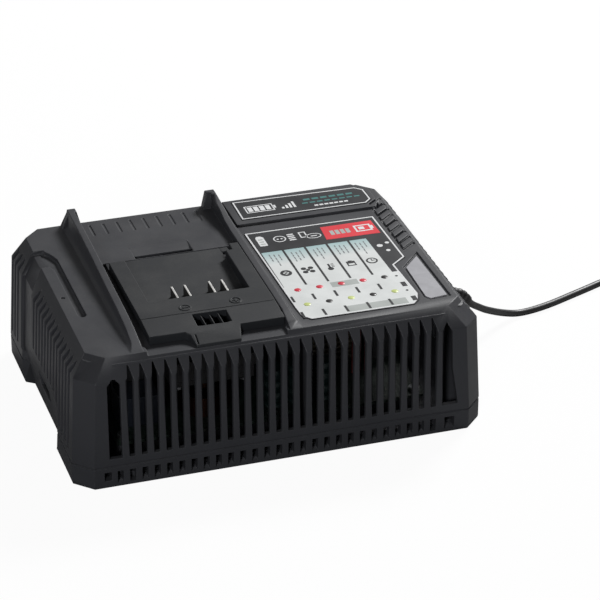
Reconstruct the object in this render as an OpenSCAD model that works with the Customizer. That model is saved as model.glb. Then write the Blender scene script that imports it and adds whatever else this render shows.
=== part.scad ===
// Bench charger for slide-on tool batteries: two-part vented housing with a
// raised battery dock, contact blades, status panel, cooling fan and mains cord.
// Millimetres. +Z is up, the grille front faces -Y, the cord leaves at +X.

/* [Housing] */
// Width at the joint line between the two shells
body_w = 200; // [150:1:260]
// Depth at the joint line between the two shells
body_d = 145; // [110:1:190]
// Height of the deck above the table
deck_h = 64; // [55:1:90]
// Height of the joint line above the table
seam_h = 11; // [9:0.5:16]
// Height where the walls turn into the slope under the deck
shoulder_h = 55.2; // [45:0.1:80]
// Inward lean of each side wall between joint line and shoulder
side_lean = 2.3; // [0.5:0.1:4]
// Inward lean of the front and back walls between joint line and shoulder
face_lean = 1; // [0.5:0.1:3]
// Horizontal run of the slope at the sides and the front
slope_run = 7.45; // [4:0.05:12]
// Horizontal run of the slope at the back
back_run = 1.2; // [0.6:0.1:5]
// Size of the cut vertical corners
corner_cut = 8.4; // [4:0.1:14]
// Size of the cut corners of the deck
deck_corner_cut = 7.5; // [4:0.1:14]
// Wall thickness of both shells
wall_t = 2.5; // [1.8:0.1:3.5]
// Clearance between pieces that are pushed together
fit_gap = 0.3; // [0.15:0.05:0.5]

/* [Grille] */
// Distance from one front or side slot to the next
slot_pitch = 5.87; // [4:0.01:9]
// Width of one slot
slot_w = 2.85; // [1.5:0.05:5]
// Number of full slots in the front wall
front_slots = 27; // [15:1:33]
// Height of the lower end of the front slots
slot_foot = 15.2; // [13:0.1:30]
// Height of the pointed upper end of the front slots
slot_tip = 58; // [50:0.5:60]

/* [Battery dock] */
// Left edge of the dock insert
dock_x0 = -59.8; // [-75:0.1:-40]
// Right edge of the dock insert
dock_x1 = 4.9; // [-10:0.1:20]
// Width of each arm of the dock insert
arm_w = 7.8; // [5:0.1:12]
// Height of the insert above the deck
dock_rise = 4; // [2:0.1:8]
// Depth of the contact bay floor below the deck
bay_drop = 2.5; // [1:0.1:4]
// Height of the guide ridges above the deck at the back
ridge_rise = 8.5; // [5:0.1:14]
// Thickness of one contact blade
blade_t = 1; // [0.6:0.1:1.6]
// Length of one contact blade
blade_len = 11.6; // [8:0.1:20]

/* [Fan] */
// Outer size of the square fan frame
fan_size = 40; // [30:1:50]
// Height of the fan frame
fan_h = 10; // [8:0.5:15]
// Wall left between the blades' opening and the frame's side
fan_rim = 1; // [0.8:0.1:2]
// Gap between blade tips and opening
fan_tip_gap = 0.8; // [0.5:0.1:1.5]
// Number of fan blades
fan_blades = 7; // [5:1:11]

/* [Electronics] */
// Thickness of the main circuit board
board_t = 1.6; // [1:0.1:2.4]
// Height of the underside of the main circuit board
board_z = 11; // [9:0.5:16]
// Height of the two large capacitors
big_cap_h = 32; // [20:1:40]

/* [Cord] */
// Diameter of the mains lead
cord_d = 3.6; // [3:0.1:7]
// Mean diameter of the coil of spare lead
coil_mean_d = 41; // [36:1:60]

/* [Hidden] */
$fn = 40;
eps = 0.01;
base_z = 0.8;
floor_t = 2.2;
floor_z = base_z + floor_t;
half_w = body_w / 2;
half_d = body_d / 2;
drop_h = deck_h - shoulder_h;
edge_cut = 1.4;
base_lean = 1.2;
tongue_h = 2.2;
tongue_t = 1.15;
deck_under = deck_h - wall_t;
dock_plate_z = deck_h - 4;
dock_floor_z = deck_h - 1.5;
bay_z = deck_h - bay_drop;
dock_top = deck_h + dock_rise;
slot_first = -slot_pitch * (front_slots - 1) / 2 + 0.25;
// Growth of the housing over its usual size, which the pieces near its walls follow
dw = half_w - 100;
dd = half_d - 72.5;
front_edge = -(half_d - face_lean - slope_run);
fan_bore_r = fan_size / 2 - fan_rim;
// Plan points keep their distance to the walls they lie near
function near(p) = [for (q = p) [q[0] + (q[0] > 40 ? dw : 0), q[1] + (q[1] < 0 ? -dd : dd)]];

// Outline of one flank: half-width h at the joint line, given as [x, z] points
function slope_nx(run) = drop_h / sqrt(run * run + drop_h * drop_h);
function flank(h, lean, run, t, low) = [
  [h - base_lean - t - edge_cut, low],
  [h - base_lean - t, low + edge_cut],
  [h - t, seam_h],
  [h - lean - t, shoulder_h - (t / slope_nx(run) - t) * drop_h / run],
  [h - lean - (drop_h - t) * run / drop_h - t / slope_nx(run), deck_h - t]
];
// Outline of one cut corner, measured from the centre along the diagonal
function corner_flank(top_y, cut_top, t, low) = [
  [(half_w + half_d - corner_cut - 2 * base_lean) / sqrt(2) - t - edge_cut, low],
  [(half_w + half_d - corner_cut - 2 * base_lean) / sqrt(2) - t, low + edge_cut],
  [(half_w + half_d - corner_cut) / sqrt(2) - t, seam_h],
  [(half_w - side_lean + half_d - face_lean - corner_cut) / sqrt(2) - t, shoulder_h],
  [(half_w - side_lean - slope_run + top_y - cut_top) / sqrt(2) - t, deck_h - t]
];
function both(right, left) = concat(right, [for (i = [len(left) - 1:-1:0]) [-left[i][0], left[i][1]]]);

// Solid of a [u, z] outline whose u axis is turned by the angle a about Z
module slab(points, a) {
  rotate([90, 0, a]) linear_extrude(height = 400, center = true) polygon(points);
}

// Housing form moved inwards by t, starting at the height low
module housing_form(t, low) {
  front_y = half_d - face_lean - slope_run;
  back_y = half_d - face_lean - back_run;
  intersection() {
    slab(both(flank(half_w, side_lean, slope_run, t, low), flank(half_w, side_lean, slope_run, t, low)), 0);
    slab(both(flank(half_d, face_lean, back_run, t, low), flank(half_d, face_lean, slope_run, t, low)), 90);
    slab(both(corner_flank(front_y, deck_corner_cut, t, low), corner_flank(back_y, deck_corner_cut, t, low)), -45);
    slab(both(corner_flank(back_y, deck_corner_cut, t, low), corner_flank(front_y, deck_corner_cut, t, low)), 45);
  }
}

// Block between two corner points
module span(a, b) {
  translate(a) cube(b - a);
}

// Upright cylinder between two heights
module post(x, y, z0, z1, r) {
  translate([x, y, z0]) cylinder(r = r, h = z1 - z0);
}

// Flat prism of plan points between two heights
module plate(points, z0, z1) {
  translate([0, 0, z0]) linear_extrude(height = z1 - z0) polygon(points);
}

// Grip recess low in the left wall: m is the amount it is grown by
scoop_in = 4.8;
scoop_y0 = -35.5;
scoop_y1 = 38.3;
scoop_end = 8;
scoop_top_z = 26;
module side_scoop(m) {
  mirror([1, 0, 0]) intersection() {
    rotate([90, 0, 0]) linear_extrude(height = 120, center = true) polygon([
      [half_w + 4, -2],
      [half_w + 4, scoop_top_z + 5 + m],
      [half_w - 0.8, scoop_top_z + m],
      [half_w - scoop_in - m, -2]
    ]);
    translate([0, 0, -2]) linear_extrude(height = 40) polygon([
      [half_w + 5, scoop_y0 - m],
      [half_w, scoop_y0 - m],
      [half_w - scoop_in - m, scoop_y0 + scoop_end - m],
      [half_w - scoop_in - m, scoop_y1 - scoop_end + m],
      [half_w, scoop_y1 + m],
      [half_w + 5, scoop_y1 + m]
    ]);
  }
}
// Opening in the grip recess that the fingertips reach into
module scoop_opening() {
  span([-half_w - 3, -14, 13.5], [-half_w + 10, 7, 21]);
}

// Slots of the front wall, reaching up into the slope
module front_slot(x, w, z0, z1) {
  translate([x, -half_d + 11.5, 0]) rotate([90, 0, 0]) linear_extrude(height = 20) polygon([
    [-w / 2, z0],
    [w / 2, z0],
    [w / 2, z1 - 2.6],
    [w * 0.12, z1],
    [-w * 0.12, z1],
    [-w / 2, z1 - 2.6]
  ]);
}
module front_grille() {
  for (i = [0:front_slots - 2]) front_slot(slot_first + slot_pitch * (i + 0.5), slot_w, slot_foot, slot_tip);
  front_slot(slot_first - slot_pitch * 0.5 - 1.9, 6.2, slot_foot, slot_tip - 2);
  translate([0, -half_d + 11.5, 0]) rotate([90, 0, 0]) linear_extrude(height = 20) polygon([
    [78, slot_foot],
    [86, slot_foot],
    [83, 34],
    [82.4, slot_tip - 4],
    [80.4, slot_tip],
    [78, slot_tip - 2.6]
  ]);
}
// Short slots of the lower shell in line with the grille
module lower_grille() {
  for (i = [-1:front_slots - 2]) {
    x = slot_first + slot_pitch * (i + 0.5);
    span([x - slot_w / 2, -half_d - 3, 2], [x + slot_w / 2, -half_d + 6, 8.4]);
  }
  span([-86.6, -half_d - 3, 4], [-83.2, -half_d + 6, 8.4]);
  span([79.4, -half_d - 3, 2], [84.4, -half_d + 6, 8.4]);
}
// Slots of the side walls, s is -1 for the left wall and 1 for the right wall
side_tip = 60;
module side_slot(s, y, z0) {
  scale([s, 1, 1]) translate([half_w - 13, y, 0]) rotate([90, 0, 90])
    linear_extrude(height = 20) polygon([
      [-slot_w / 2, z0],
      [slot_w / 2, z0],
      [slot_w / 2, side_tip - 1.6],
      [slot_w * 0.2, side_tip],
      [-slot_w / 2, side_tip - 1.6]
    ]);
}
module side_grille() {
  for (i = [0:7]) side_slot(-1, 14.6 - slot_pitch * i, 29);
  for (i = [0:3]) side_slot(1, 14.6 - slot_pitch * i, 42);
  for (i = [4:7]) side_slot(1, 14.6 - slot_pitch * i, 15.2);
  for (s = [-1, 1], i = [8:12]) side_slot(s, 14.6 - slot_pitch * i, 15.2);
  for (s = [-1, 1], i = [0:2]) side_slot(s, 60 - slot_pitch * i, 15.2);
}

// Channel that runs from the deck over the slope and down between the two groups of side slots
channel_in = 1.6;
module side_channel() {
  difference() {
    translate([-half_w - 3, 0, 0]) rotate([90, 0, 90]) linear_extrude(height = 18) polygon([
      [20, 16],
      [20, shoulder_h],
      [29.5, deck_h - 0.5],
      [29.5, deck_h + 2],
      [47.2, deck_h + 2],
      [47.2, deck_h - 0.5],
      [41, shoulder_h],
      [41, 16]
    ]);
    housing_form(channel_in, base_z);
  }
}

// Plan of the panel that carries the status marks and of its raised neighbour
status_plan = near([[12.5, 34], [79.4, 33.6], [79.8, -12.3], [71.6, -18.8], [73.6, -49], [71.4, -55],
  [68.2, -58.4], [17.5, -58.1], [13.9, -53.8], [13.4, -45.8]]);
rear_plan = near([[15.7, 66.8], [15.4, 46.6], [80.4, 46.2], [84.2, 49.8], [84, 61.5], [80, 65]]);
window_plan = near([[85.6, -12.4], [76.9, -22.1], [75.9, -52.1], [77.7, -54.5], [86, -53.5]]);
window_rim = near([[87.2, -8.4], [75.5, -21.6], [74.7, -52.4], [77, -55.7], [87.4, -54.9]]);
plateau_z = deck_h + 1.2;
led_x = [for (i = [0:4]) 20 + i * (43.4 + dw) / 4];
led_y = [-29 - dd, -43.8 - dd];
led_r = 1.6;

// Guide ridge: plan profile across, height profile along
module ridge(across, along) {
  intersection() {
    translate([0, 0, 0]) rotate([90, 0, 0]) linear_extrude(height = 200, center = true) polygon(across);
    rotate([90, 0, 90]) linear_extrude(height = 200, center = true) polygon(along);
  }
}
left_ridge = [[-70.5, deck_h - 1], [-70.5, deck_h], [-68.6, deck_h + 2], [-67.4, deck_h + ridge_rise + 1],
  [-64.4, deck_h + ridge_rise + 1], [-64.4, deck_h - 1]];
right_ridge = [[5.3, deck_h - 1], [5.3, deck_h + ridge_rise + 1], [7.4, deck_h + ridge_rise + 1],
  [8.6, deck_h + dock_rise], [9.6, deck_h + 2], [11.4, deck_h], [11.4, deck_h - 1]];
ridge_back = half_d - face_lean - back_run;
left_ridge_side = [[-63.8, deck_h - 1], [-63.8, deck_h], [-59, deck_h + 1.6], [-46, deck_h + 3.9],
  [-31, deck_h + 5.1], [-12, deck_h + 5.9], [7, deck_h + 6.9], [27, deck_h + 7.8],
  [48, deck_h + ridge_rise], [ridge_back, deck_h + ridge_rise], [ridge_back, deck_h - 1]];
right_ridge_side = [[-63.8, deck_h - 1], [-63.8, deck_h], [-59, deck_h + 1.8], [-50, deck_h + dock_rise],
  [34, deck_h + dock_rise + 0.1], [44, deck_h + 4.7], [51, deck_h + 6.5], [56, deck_h + 7.3],
  [66, deck_h + ridge_rise], [ridge_back, deck_h + ridge_rise], [ridge_back, deck_h - 1]];
module ears() {
  for (p = [[-71.2, -67.1, -63.5, -61.2], [0.9, 2.8, 6.6, 9.7]])
    translate([0, ridge_back, 0]) rotate([90, 0, 0]) linear_extrude(height = 4) polygon([
      [p[0], deck_h - 1],
      [p[0], deck_h],
      [p[1], deck_h + ridge_rise],
      [p[2], deck_h + ridge_rise],
      [p[3], deck_h],
      [p[3], deck_h - 1]
    ]);
}

// Slanted grip pads beside the status panel
grip_pitch = 6.3;
module grip_steps() {
  translate([dw, 0, 0]) for (i = [0:5]) translate([0, 8.7 + grip_pitch * i, 0])
    plate([[81.9, 0], [88.5, 5.4], [88.5, 4.3 + grip_pitch], [81.9, grip_pitch - 1.1]], deck_h - 0.5, deck_h + 0.9);
}

// Groove on the left of the deck, opening at the edge
module side_groove(z0) {
  translate([-dw, 0, 0]) plate([[-96, 47.2], [-86.4, 47.2], [-83.2, 42.6], [-80.9, 36], [-80.9, -22.2],
    [-81.8, -23.6], [-83.7, -23.6], [-84.6, -22.2], [-84.6, 25], [-86.2, 29.5], [-96, 29.5]], z0, deck_h + 4);
}

// Screw posts that close the housing
post_x = half_w - 12;
post_y = half_d - 14.5;
house_posts = [[-post_x, -post_y], [post_x, -post_y], [-post_x, post_y], [post_x, post_y], [14, -post_y], [14, half_d - 9.5]];
post_low = 9;
board_x = half_w - 24;
board_front = -(half_d - 17.5);
board_back = half_d - 22.5;
board_posts = [[4 - board_x, board_front + 5], [board_x - 4, board_front + 5], [4 - board_x, board_back - 6],
  [board_x - 4, board_back - 6], [0, board_front + 3], [0, board_back - 4]];
insert_fix = [[-56.4, -45], [-56.4, 10], [1.5, -45], [1.5, 12]];
led_z = deck_h - 11;
panel_posts = [[12, -36.5 - dd], [72 + dw, -36.5 - dd]];
cord_y = 4;
cord_z = 30;
clamp_x = half_w - 16;
inlet_x = half_w - 24;
clamp_post_y = [-6, 14];

module top_shell() {
  color([0.16, 0.165, 0.18]) difference() {
    union() {
      difference() {
        intersection() {
          housing_form(0, base_z);
          span([-200, -200, seam_h], [200, 200, deck_h + 1]);
        }
        difference() {
          housing_form(wall_t, floor_z);
          side_scoop(wall_t);
        }
        intersection() {
          housing_form(wall_t - tongue_t - 0.15, floor_z);
          span([-200, -200, 0], [200, 200, seam_h + tongue_h + 0.2]);
        }
        front_grille();
        side_grille();
      }
      intersection() {
        housing_form(1, base_z);
        difference() {
          side_scoop(wall_t);
          span([-200, -200, -5], [200, 200, seam_h]);
        }
      }
      translate([0, -dd, 0]) span([-69, -63.6, dock_plate_z], [9.5, 40, deck_h - 1]);
      ridge(left_ridge, left_ridge_side);
      ridge(right_ridge, right_ridge_side);
      ears();
      plate(near([[11.4, 69.3], [11.4, 42.6], [83.6, 42], [86.6, 47.6], [86.6, 61.4], [79.4, 69.3]]), deck_h - 1, plateau_z);
      grip_steps();
      for (p = house_posts) post(p[0], p[1], post_low, deck_under + 0.5, 4);
      for (p = panel_posts) post(p[0], p[1], led_z + 1.6, deck_under + 0.5, 3);
      translate([half_w - side_lean - 3.4, cord_y, cord_z]) rotate([0, 90, 0]) cylinder(r = 8, h = 2);
    }
    side_scoop(0);
    scoop_opening();
    // Joint line between the shells
    difference() {
      span([-120, -120, seam_h - 1], [120, 120, seam_h + 0.45]);
      housing_form(0.45, base_z);
    }
    // Dock pocket with the cut-out that the insert drops into
    translate([0, -dd, 0]) {
      plate([[-62.8, -75], [3.7, -75], [3.7, -60.4], [5.3, -58], [5.3, 23.4], [1, 24.6], [-60.4, 24.6], [-64.4, 23.4],
        [-64.4, -58], [-62.8, -60.4]], dock_floor_z, deck_h + 0.6);
      span([-53, -50, dock_plate_z - 1], [-1.9, 16, deck_h]);
      span([-38, -55.4, dock_plate_z - 1], [-17.4, -49, deck_h]);
      for (p = insert_fix) post(p[0], p[1], dock_plate_z - 1, deck_h, 1.6);
      // Latch recess behind the bay, which falls towards the front
      translate([-44.8, 0, 0]) rotate([90, 0, 90]) linear_extrude(height = 29) polygon([
        [26.6, deck_h - 2.2],
        [26.6, deck_h + 1],
        [36.8, deck_h + 1],
        [36.8, deck_h]
      ]);
    }
    for (i = [0:8]) span([-58 + 6.8 * i, 55 + dd, deck_h - 0.7], [-57 + 6.8 * i, 66 + dd, deck_h + 1]);
    // Panel pockets
    plate(status_plan, deck_h - 0.3, deck_h + 1);
    plate(rear_plan, plateau_z - 0.3, plateau_z + 1);
    plate(window_rim, deck_h - 0.8, deck_h + 2);
    plate(near([[80.4, 40.6], [85.6, 41.4], [86.4, 46.4], [83.8, 41.8]]), deck_h - 0.8, deck_h + 3);
    for (x = led_x, y = led_y) post(x, y, deck_under - 1, deck_h, led_r + fit_gap);
    intersection() {
      side_groove(deck_h - channel_in);
      span([-94 - dw, -50, deck_h - channel_in], [-60, 60, deck_h + 2]);
    }
    side_channel();
    // Screw seats
    for (p = house_posts) post(p[0], p[1], post_low - 1, 26, 1.45);
    for (p = panel_posts) post(p[0], p[1], led_z + 1, deck_h - 3.5, 1.1);
    post(-87.4 - dw, -3.1, deck_h - 0.6, deck_h + 1, 1.1);
    // Cord hole
    translate([half_w - 14, cord_y, cord_z]) rotate([0, 90, 0]) cylinder(r = 5, h = 30);
  }
}

foot_x = half_w - 28;
foot_y = half_d - 12.5;
foot_xy = [[-foot_x, -foot_y], [foot_x, -foot_y], [-foot_x, foot_y], [foot_x, foot_y]];
module bottom_shell() {
  color([0.12, 0.125, 0.135]) difference() {
    union() {
      difference() {
        union() {
          intersection() {
            housing_form(0, base_z);
            span([-200, -200, 0], [200, 200, seam_h]);
          }
          intersection() {
            housing_form(wall_t - tongue_t, base_z);
            span([-200, -200, seam_h - 1], [200, 200, seam_h + tongue_h]);
          }
        }
        difference() {
          housing_form(wall_t, floor_z);
          side_scoop(wall_t);
        }
        lower_grille();
      }
      for (p = foot_xy) post(p[0], p[1], floor_z - 0.5, 5, 9);
      for (p = house_posts) post(p[0], p[1], floor_z - 0.5, post_low, 5);
      for (p = board_posts) post(p[0], p[1], floor_z - 0.5, board_z, 3.4);
      for (y = clamp_post_y) post(clamp_x, y, floor_z - 0.5, cord_z - 1, 3.6);
      span([clamp_x - 3, clamp_post_y[0], floor_z - 0.5], [clamp_x + 3, clamp_post_y[1], cord_z - 1]);
    }
    side_scoop(0);
    difference() {
      span([-120, -120, seam_h - 0.35], [120, 120, seam_h]);
      housing_form(0.45, base_z);
    }
    // The upper shell closes the scoops above the joint line
    intersection() {
      side_scoop(wall_t + 0.2);
      span([-200, -200, seam_h], [200, 200, 60]);
    }
    for (p = foot_xy) post(p[0], p[1], -1, 2.4, 7);
    for (p = house_posts) {
      post(p[0], p[1], -1, 5, 3.4);
      post(p[0], p[1], 0, post_low + 1, 1.8);
    }
    for (p = board_posts) post(p[0], p[1], 4, board_z + 1, 1.2);
    for (y = clamp_post_y) post(clamp_x, y, 16, cord_z, 1.2);
    translate([inlet_x - 16, cord_y, cord_z]) rotate([0, 90, 0]) cylinder(r = cord_d / 2, h = 36);
    for (i = [-5:5]) span([i * 9 - 1.5, -38, -1], [i * 9 + 1.5, -12, floor_z + 1]);
    for (i = [-5:5]) span([i * 9 - 1.5, 8, -1], [i * 9 + 1.5, 34, floor_z + 1]);
  }
}

module rubber_feet() {
  color([0.05, 0.05, 0.055]) for (p = foot_xy) {
    post(p[0], p[1], 0.6, 2.4, 6.8);
    post(p[0], p[1], 0, 0.7, 6);
  }
}

// Pan-head screw standing on its head: neck radius r, head radius hr, going up
module screw_up(x, y, z, r, length, hr, hh) {
  difference() {
    union() {
      post(x, y, z - hh, z, hr);
      post(x, y, z - 0.1, z + length, r);
    }
    for (a = [0, 90]) translate([x, y, z - hh]) rotate([0, 0, a]) cube([hr * 1.1, hr * 0.24, hh * 1.1], center = true);
  }
}
// Pan-head screw going down
module screw_down(x, y, z, r, length, hr, hh) {
  translate([x, y, z]) rotate([180, 0, 0]) screw_up(0, 0, 0, r, length, hr, hh);
}

module housing_screws() {
  color([0.62, 0.63, 0.65]) for (p = house_posts) screw_up(p[0], p[1], 5, 1.25, 19, 3, 2.2);
}
module board_screws() {
  color([0.62, 0.63, 0.65]) for (p = board_posts) screw_down(p[0], p[1], board_z + board_t, 1, 7, 2.6, 1.8);
}
module insert_screws() {
  color([0.62, 0.63, 0.65]) translate([0, -dd, 0]) for (p = insert_fix) screw_up(p[0], p[1], dock_plate_z, 1, 6, 2.8, 1.6);
}
module panel_screws() {
  color([0.62, 0.63, 0.65]) for (p = panel_posts) screw_up(p[0], p[1], led_z, 0.9, 6.4, 2.2, 1.4);
}

// Dock insert
tub_x0 = -52.7;
tub_x1 = -2.2;
tub_z = deck_h - 8;
term_z = tub_z - 5;
term_top = term_z + 1.6;
arm_in0 = dock_x0 + arm_w;
arm_in1 = dock_x1 - arm_w;
block_back = -25.8;
block_bend = -40.4;
block_front = -56.5;
block_front_z = deck_h + 2.8;
blade_x = [-37.6, -31.3, -19.4, -13.2];
blade_y1 = -14;
vent_x0 = -36;
vent_x1 = -19.5;
vent_y0 = -53.2;
vent_y1 = -43.3;
board_fix = [[-46, 0], [-9, 0]];
duct_fix = [[-46.5, -43], [-9.5, -43]];
mark_y = -36.3;
minus_x = -37.2;
plus_x = -12.8;

module dock_insert() {
  color([0.19, 0.195, 0.21]) translate([0, -dd, 0]) difference() {
    union() {
      span([tub_x0, -49.7, tub_z], [tub_x1, 15.7, dock_floor_z + 0.5]);
      span([-37.7, -55.1, tub_z], [-17.7, -49, dock_floor_z + 0.5]);
      span([dock_x0, block_back - 2, dock_floor_z], [arm_in0, 17.5, dock_top]);
      plate([[arm_in1, block_back - 2], [dock_x1, block_back - 2], [dock_x1, 20], [arm_in1 + 3.4, 20],
        [arm_in1 + 3.4, 13.7], [arm_in1, 13.7]], dock_floor_z, dock_top);
      translate([dock_x0, 0, 0]) rotate([90, 0, 90]) linear_extrude(height = dock_x1 - dock_x0) polygon([
        [block_back, dock_floor_z],
        [block_back, dock_top],
        [block_bend, dock_top],
        [block_front, block_front_z],
        [block_front, dock_floor_z]
      ]);
      // Nose that carries the front of the block down to the slope
      intersection() {
        rotate([90, 0, 90]) linear_extrude(height = 100, center = true) polygon([
          [block_front + 3, dock_floor_z],
          [block_front + 3, block_front_z + 0.2],
          [block_front, block_front_z],
          [front_edge + dd - 0.35, dock_floor_z + 1.1],
          [front_edge + dd - 1.2, dock_floor_z]
        ]);
        plate([[-44.6, block_front + 3], [-43, block_front], [-41, block_front - 2], [-39.4, -66], [-18.7, -66],
          [-16.4, block_front], [-15.4, block_front + 3]], dock_floor_z, dock_top);
      }
      for (p = board_fix) post(p[0], p[1], term_top, tub_z + 1, 3);
      // Raised polarity marks
      for (x = [minus_x, plus_x]) {
        difference() {
          post(x, mark_y, dock_top - 0.5, dock_top + 0.3, 2.9);
          post(x, mark_y, dock_top, dock_top + 1, 2.1);
        }
        span([x - 1.4, mark_y - 0.35, dock_top - 0.5], [x + 1.4, mark_y + 0.35, dock_top + 0.3]);
      }
      span([plus_x - 0.35, mark_y - 1.4, dock_top - 0.5], [plus_x + 0.35, mark_y + 1.4, dock_top + 0.3]);
    }
    span([arm_in0, block_back, bay_z], [arm_in1, 30, dock_top + 2]);
    for (x = blade_x) span([x - blade_t / 2 - 0.15, block_back, tub_z - 1],
      [x + blade_t / 2 + 0.15, blade_y1 + 0.2, bay_z + 1]);
    // Air chamber and the openings above it
    span([vent_x0 - 0.4, vent_y0 - 0.4, tub_z - 1], [vent_x1 + 0.4, -36, deck_h + 0.4]);
    for (i = [0:3]) span([vent_x0 + 4.4 * i, vent_y0, deck_h], [vent_x0 + 4.4 * i + 3.3, vent_y1, dock_top + 2]);
    span([-39, -64.2, deck_h - 0.6], [-38.3, -58.6, dock_top]);
    for (p = insert_fix) post(p[0], p[1], dock_floor_z - 0.5, dock_floor_z + 4, 1.15);
    for (p = board_fix) post(p[0], p[1], term_z + 1, tub_z + 3.5, 1.1);
    for (p = duct_fix) post(p[0], p[1], tub_z - 0.5, tub_z + 4, 1.1);
  }
}

module contact_blades() {
  color([0.80, 0.62, 0.30]) translate([0, -dd, 0]) for (x = blade_x) {
    span([x - blade_t / 2, blade_y1 - blade_len, term_top], [x + blade_t / 2, blade_y1, dock_top - 0.3]);
    span([x - 1.6, blade_y1 - blade_len + 1, term_top], [x + 1.6, blade_y1 - 1, term_top + 0.8]);
  }
}

module terminal_board() {
  color([0.10, 0.33, 0.17]) translate([0, -dd, 0]) difference() {
    span([-49, -28, term_z], [-6, 4, term_top]);
    for (p = board_fix) post(p[0], p[1], term_z - 1, term_top + 1, 1.3);
  }
}
module terminal_screws() {
  color([0.62, 0.63, 0.65]) translate([0, -dd, 0]) for (p = board_fix)
    screw_up(p[0], p[1], term_z, 0.9, 7.6, 2.2, 1.4);
}

module status_label() {
  color([0.80, 0.82, 0.83]) difference() {
    plate(status_plan, deck_h - 0.3, deck_h + 0.3);
    for (x = led_x, y = led_y) post(x, y, deck_h - 1, deck_h + 1, led_r + fit_gap);
  }
}
module rear_label() {
  color([0.22, 0.23, 0.24]) plate(rear_plan, plateau_z - 0.3, plateau_z + 0.25);
}
module indicator_window() {
  color([0.68, 0.68, 0.70]) plate(window_plan, deck_h - 0.8, deck_h - 0.1);
}

// Light guide and its board under the status panel
guide_z = deck_h - 7;
module light_guide() {
  color([0.90, 0.92, 0.88, 0.8]) difference() {
    union() {
      span([16.5, -47 - dd, guide_z], [67 + dw, -26 - dd, guide_z + 1.5]);
      for (x = led_x, y = led_y) post(x, y, guide_z + 1, deck_h + 0.25, led_r);
      span([16.5, -39 - dd, led_z + 1.6], [19.5, -33 - dd, guide_z + 0.5]);
      span([64 + dw, -39 - dd, led_z + 1.6], [67 + dw, -33 - dd, guide_z + 0.5]);
    }
  }
}
module led_board() {
  color([0.10, 0.33, 0.17]) difference() {
    span([8, -49 - dd, led_z], [76 + dw, -24 - dd, led_z + 1.6]);
    for (p = panel_posts) post(p[0], p[1], led_z - 1, led_z + 3, 1.3);
  }
}
module led_chips() {
  color([0.93, 0.90, 0.62]) for (x = led_x, y = led_y) span([x - 1.6, y - 1, led_z + 1.6], [x + 1.6, y + 1, led_z + 2.8]);
}
module panel_leads() {
  color([0.55, 0.10, 0.10]) for (i = [0:3]) post(46 + 3.2 * i, -26 - dd, board_z + board_t, led_z, 0.7);
}

// Cooling fan under the dock
fan_x = -28;
fan_y = -30 - dd;
fan_z0 = tub_z - 12 - fan_h;
fan_hole = fan_size / 2 - 4;
module fan_frame() {
  color([0.09, 0.09, 0.10]) translate([fan_x, fan_y, fan_z0]) difference() {
    union() {
      difference() {
        span([-fan_size / 2, -fan_size / 2, 0], [fan_size / 2, fan_size / 2, fan_h]);
        post(0, 0, -1, fan_h + 1, fan_bore_r);
      }
      for (a = [45:90:315]) rotate([0, 0, a]) span([4, -1, 0], [fan_bore_r + 1, 1, 1.6]);
      post(0, 0, 0, 1.6, 8.6);
      post(0, 0, 1, 7.2, 3.4);
    }
    post(0, 0, 0.8, fan_h, 2.4);
    for (x = [-1, 1], y = [-1, 1]) post(x * fan_hole, y * fan_hole, -1, fan_h + 1, 1.7);
    for (s = [-1, 1]) span([s * 12 - 6, -fan_size / 2 - 1, 2.5], [s * 12 + 6, -fan_size / 2 + 0.4, fan_h - 2.5]);
  }
}
module fan_bush() {
  color([0.72, 0.55, 0.28]) translate([fan_x, fan_y, fan_z0]) difference() {
    post(0, 0, 0.8, 7.2, 2.4);
    post(0, 0, 1.6, 8, 1.05);
  }
}
module fan_coils() {
  color([0.72, 0.38, 0.16]) translate([fan_x, fan_y, fan_z0]) difference() {
    union() {
      post(0, 0, 1.6, 6.4, 4.6);
      for (a = [0:90:270]) rotate([0, 0, a]) span([3.6, -2.2, 1.6], [7, 2.2, 6.4]);
    }
    post(0, 0, 1, 8, 3.4);
  }
}
module fan_rotor() {
  hub_r = 9;
  tip_r = fan_bore_r - fan_tip_gap;
  color([0.14, 0.14, 0.15]) translate([fan_x, fan_y, fan_z0]) union() {
    difference() {
      post(0, 0, 2.2, 9, hub_r);
      post(0, 0, 1.5, 7.8, 7.8);
    }
    post(0, 0, 2, 8, 1);
    intersection() {
      difference() {
        post(0, 0, 2.3, 8.9, tip_r);
        post(0, 0, 2, 9.5, hub_r - 0.5);
      }
      for (i = [0:fan_blades - 1]) rotate([0, 0, i * 360 / fan_blades]) translate([0, 0, 5.6])
        rotate([38, 0, 0]) span([hub_r - 1.5, -7, -0.55], [tip_r + 2, 7, 0.55]);
    }
  }
}
module fan_screws() {
  color([0.62, 0.63, 0.65]) for (x = [-1, 1], y = [-1, 1])
    screw_up(fan_x + x * fan_hole, fan_y + y * fan_hole, fan_z0, 1.25, 14.2, 2.8, 2);
}
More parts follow.
